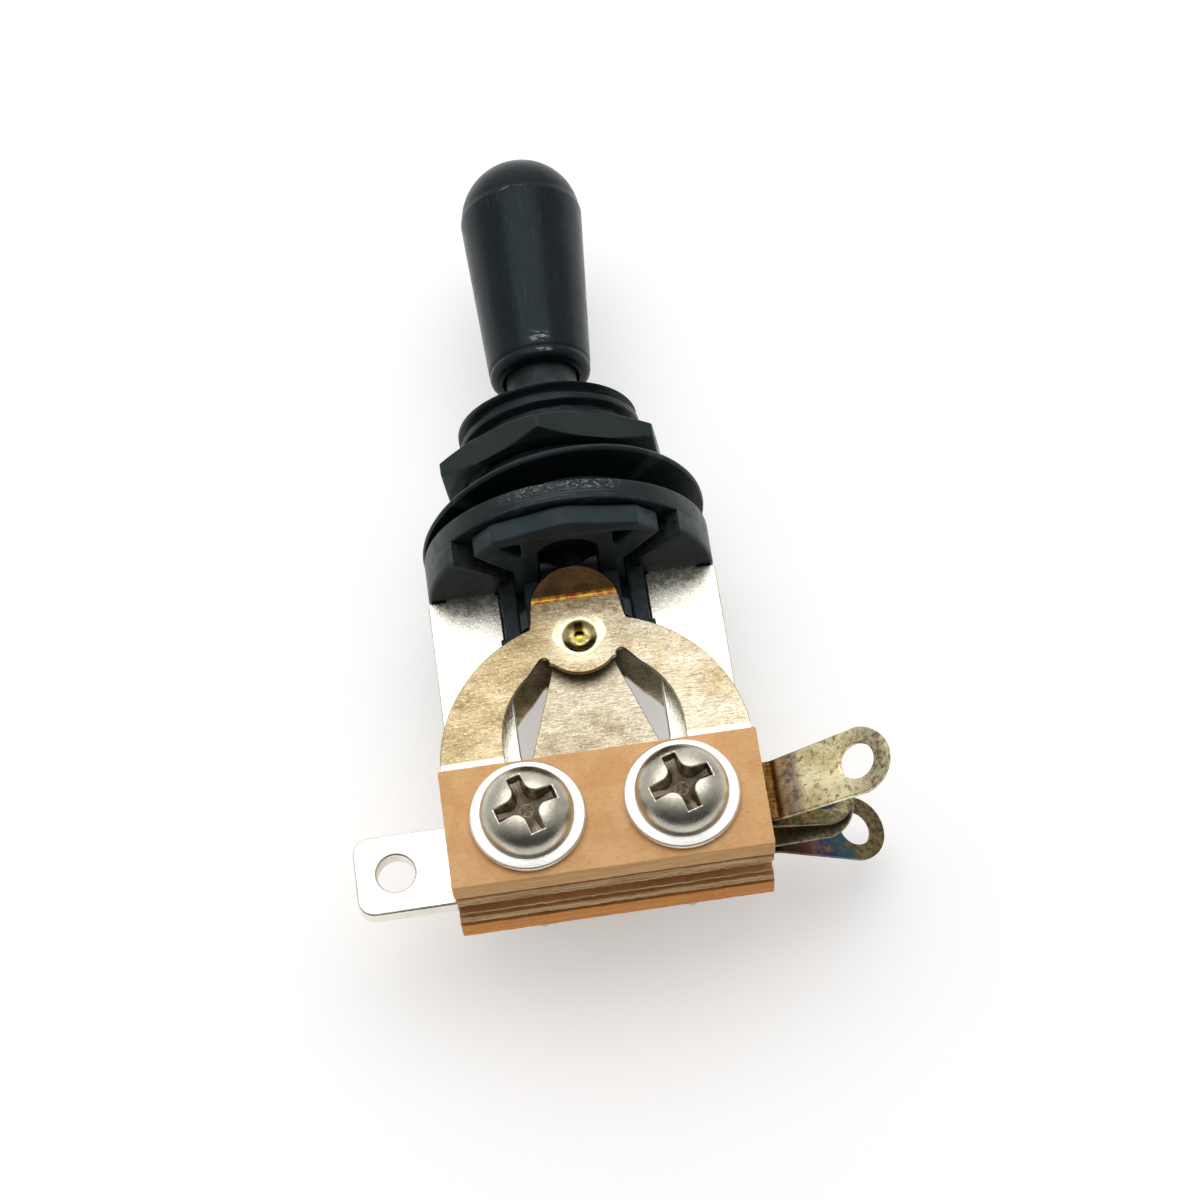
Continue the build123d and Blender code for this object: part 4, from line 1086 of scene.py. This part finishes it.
# --- CAD nodes that keep their own shape ---
def refine(node, material, width):
    """Gives a CAD node its material and rounds its sharp edges."""
    kept = frame["nodes"][node]
    kept.data.materials.clear()
    kept.data.materials.append(material)
    weld = kept.modifiers.new("weld", "WELD")
    weld.merge_threshold = 1e-6
    if width:
        soft = kept.modifiers.new("soft_edges", "BEVEL")
        soft.width = width * MM
        soft.segments = 3
        soft.limit_method = "ANGLE"
        soft.angle_limit = radians(35)
    smooth = kept.modifiers.new("even_normals", "WEIGHTED_NORMAL")
    smooth.keep_sharp = True


refine("lever", lever_black, 0.12)
refine("pivot_pin", steel, 0.0)
for half in ("front", "rear"):
    refine(f"{half}_tongue_contact", rivet, 0.03)
for place in ("left", "right"):
    refine(f"insulating_sleeve_{place}", sleeve_nylon, 0.05)

# --- Stage, light and camera ---
scene = bpy.context.scene
low_corner, high_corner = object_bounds()
FLOOR_Z = low_corner.z
ROOM_LEVEL = 0.95
TABLE_GLOW = 0.34
SENSOR_WIDTH = 36.0
LENS = 92.64


def make_floor():
    """Plain pale table, far larger than the view."""
    half = 1.5
    data = bpy.data.meshes.new("table")
    corners = [(x, y, FLOOR_Z) for x, y in ((-half, -half), (half, -half), (half, half), (-half, half))]
    data.from_pydata(corners, [], [(0, 1, 2, 3)])
    s = Surface("table_white", Roughness=0.7, Specular_IOR_Level=0.2, Emission_Strength=TABLE_GLOW)
    s.shader.inputs["Emission Color"].default_value = (1, 1, 1, 1)
    colour = s.mix(s.noise(30, 2, 0.5), srgb(240, 240, 241), srgb(244, 244, 245))
    data.materials.append(s.finish(colour))
    table = bpy.data.objects.new("table", data)
    scene.collection.objects.link(table)


def area_light(name, place, aim, size, power, colour):
    """A rectangular softbox, place and aim in metres."""
    data = bpy.data.lights.new(name, "AREA")
    data.shape = "RECTANGLE"
    data.size, data.size_y = size
    data.energy = power
    data.color = colour
    lamp = bpy.data.objects.new(name, data)
    lamp.location = place
    lamp.rotation_euler = (Vector(aim) - Vector(place)).to_track_quat("-Z", "Y").to_euler()
    scene.collection.objects.link(lamp)


def make_world():
    """Soft room: bright behind the object, dark low in front of it where the camera stands."""
    world = bpy.data.worlds.new("room")
    world.use_nodes = True
    nodes, links = world.node_tree.nodes, world.node_tree.links
    place = nodes.new("ShaderNodeTexCoord").outputs["Generated"]
    split = nodes.new("ShaderNodeSeparateXYZ")
    links.new(place, split.inputs[0])
    span = nodes.new("ShaderNodeMapRange")
    span.inputs["From Min"].default_value = -1.0
    span.inputs["From Max"].default_value = 1.0
    links.new(split.outputs[1], span.inputs["Value"])
    ramp = nodes.new("ShaderNodeValToRGB")
    stops = ((-0.72, 0.1), (-0.4, 0.3), (-0.1, 0.85), (0.2, 1.1), (0.34, 1.1), (0.5, 1.0), (0.9, 1.0))
    band = ramp.color_ramp.elements
    for i, (height, level) in enumerate(stops):
        stop = band[i] if i < 2 else band.new(1.0)
        stop.position = (height + 1) / 2
        stop.color = (level, level * 0.995, level * 0.98, 1)
    links.new(span.outputs[0], ramp.inputs[0])
    links.new(ramp.outputs[0], nodes["Background"].inputs["Color"])
    wide = nodes.new("ShaderNodeMath")
    wide.operation = "ABSOLUTE"
    links.new(split.outputs[0], wide.inputs[0])
    sides = nodes.new("ShaderNodeMapRange")
    sides.interpolation_type = "SMOOTHSTEP"
    sides.inputs["From Min"].default_value = 0.2
    sides.inputs["From Max"].default_value = 0.75
    sides.inputs["To Min"].default_value = ROOM_LEVEL
    sides.inputs["To Max"].default_value = ROOM_LEVEL * 0.6
    links.new(wide.outputs[0], sides.inputs["Value"])
    links.new(sides.outputs[0], nodes["Background"].inputs["Strength"])
    scene.world = world


def make_camera():
    """Pinhole camera, placed by its angles about a point near the object's middle."""
    elevation, azimuth, roll = radians(64.16), radians(-2.51), radians(5.86)
    target, distance = Vector((1.674, -4.191, 0.0)) * MM, 198.8 * MM
    back = Vector((sin(azimuth) * cos(elevation), -cos(azimuth) * cos(elevation), sin(elevation)))
    level = Vector((cos(azimuth), sin(azimuth), 0))
    upward = back.cross(level)
    across = level * cos(roll) - upward * sin(roll)
    above = level * sin(roll) + upward * cos(roll)
    data = bpy.data.cameras.new("camera")
    data.sensor_width, data.lens = SENSOR_WIDTH, LENS
    data.clip_start, data.clip_end = 0.01, 10
    camera = bpy.data.objects.new("camera", data)
    turn = Matrix((across, above, back)).transposed().to_4x4()
    camera.matrix_world = Matrix.Translation(target + back * distance) @ turn
    scene.collection.objects.link(camera)
    scene.camera = camera


make_floor()
make_world()
area_light("softbox_above", (0.0, 0.14, 0.36), (0, 0, 0), (0.44, 0.3), 0.5, (1.0, 0.99, 0.97))
make_camera()
scene.view_settings.view_transform = "Standard"
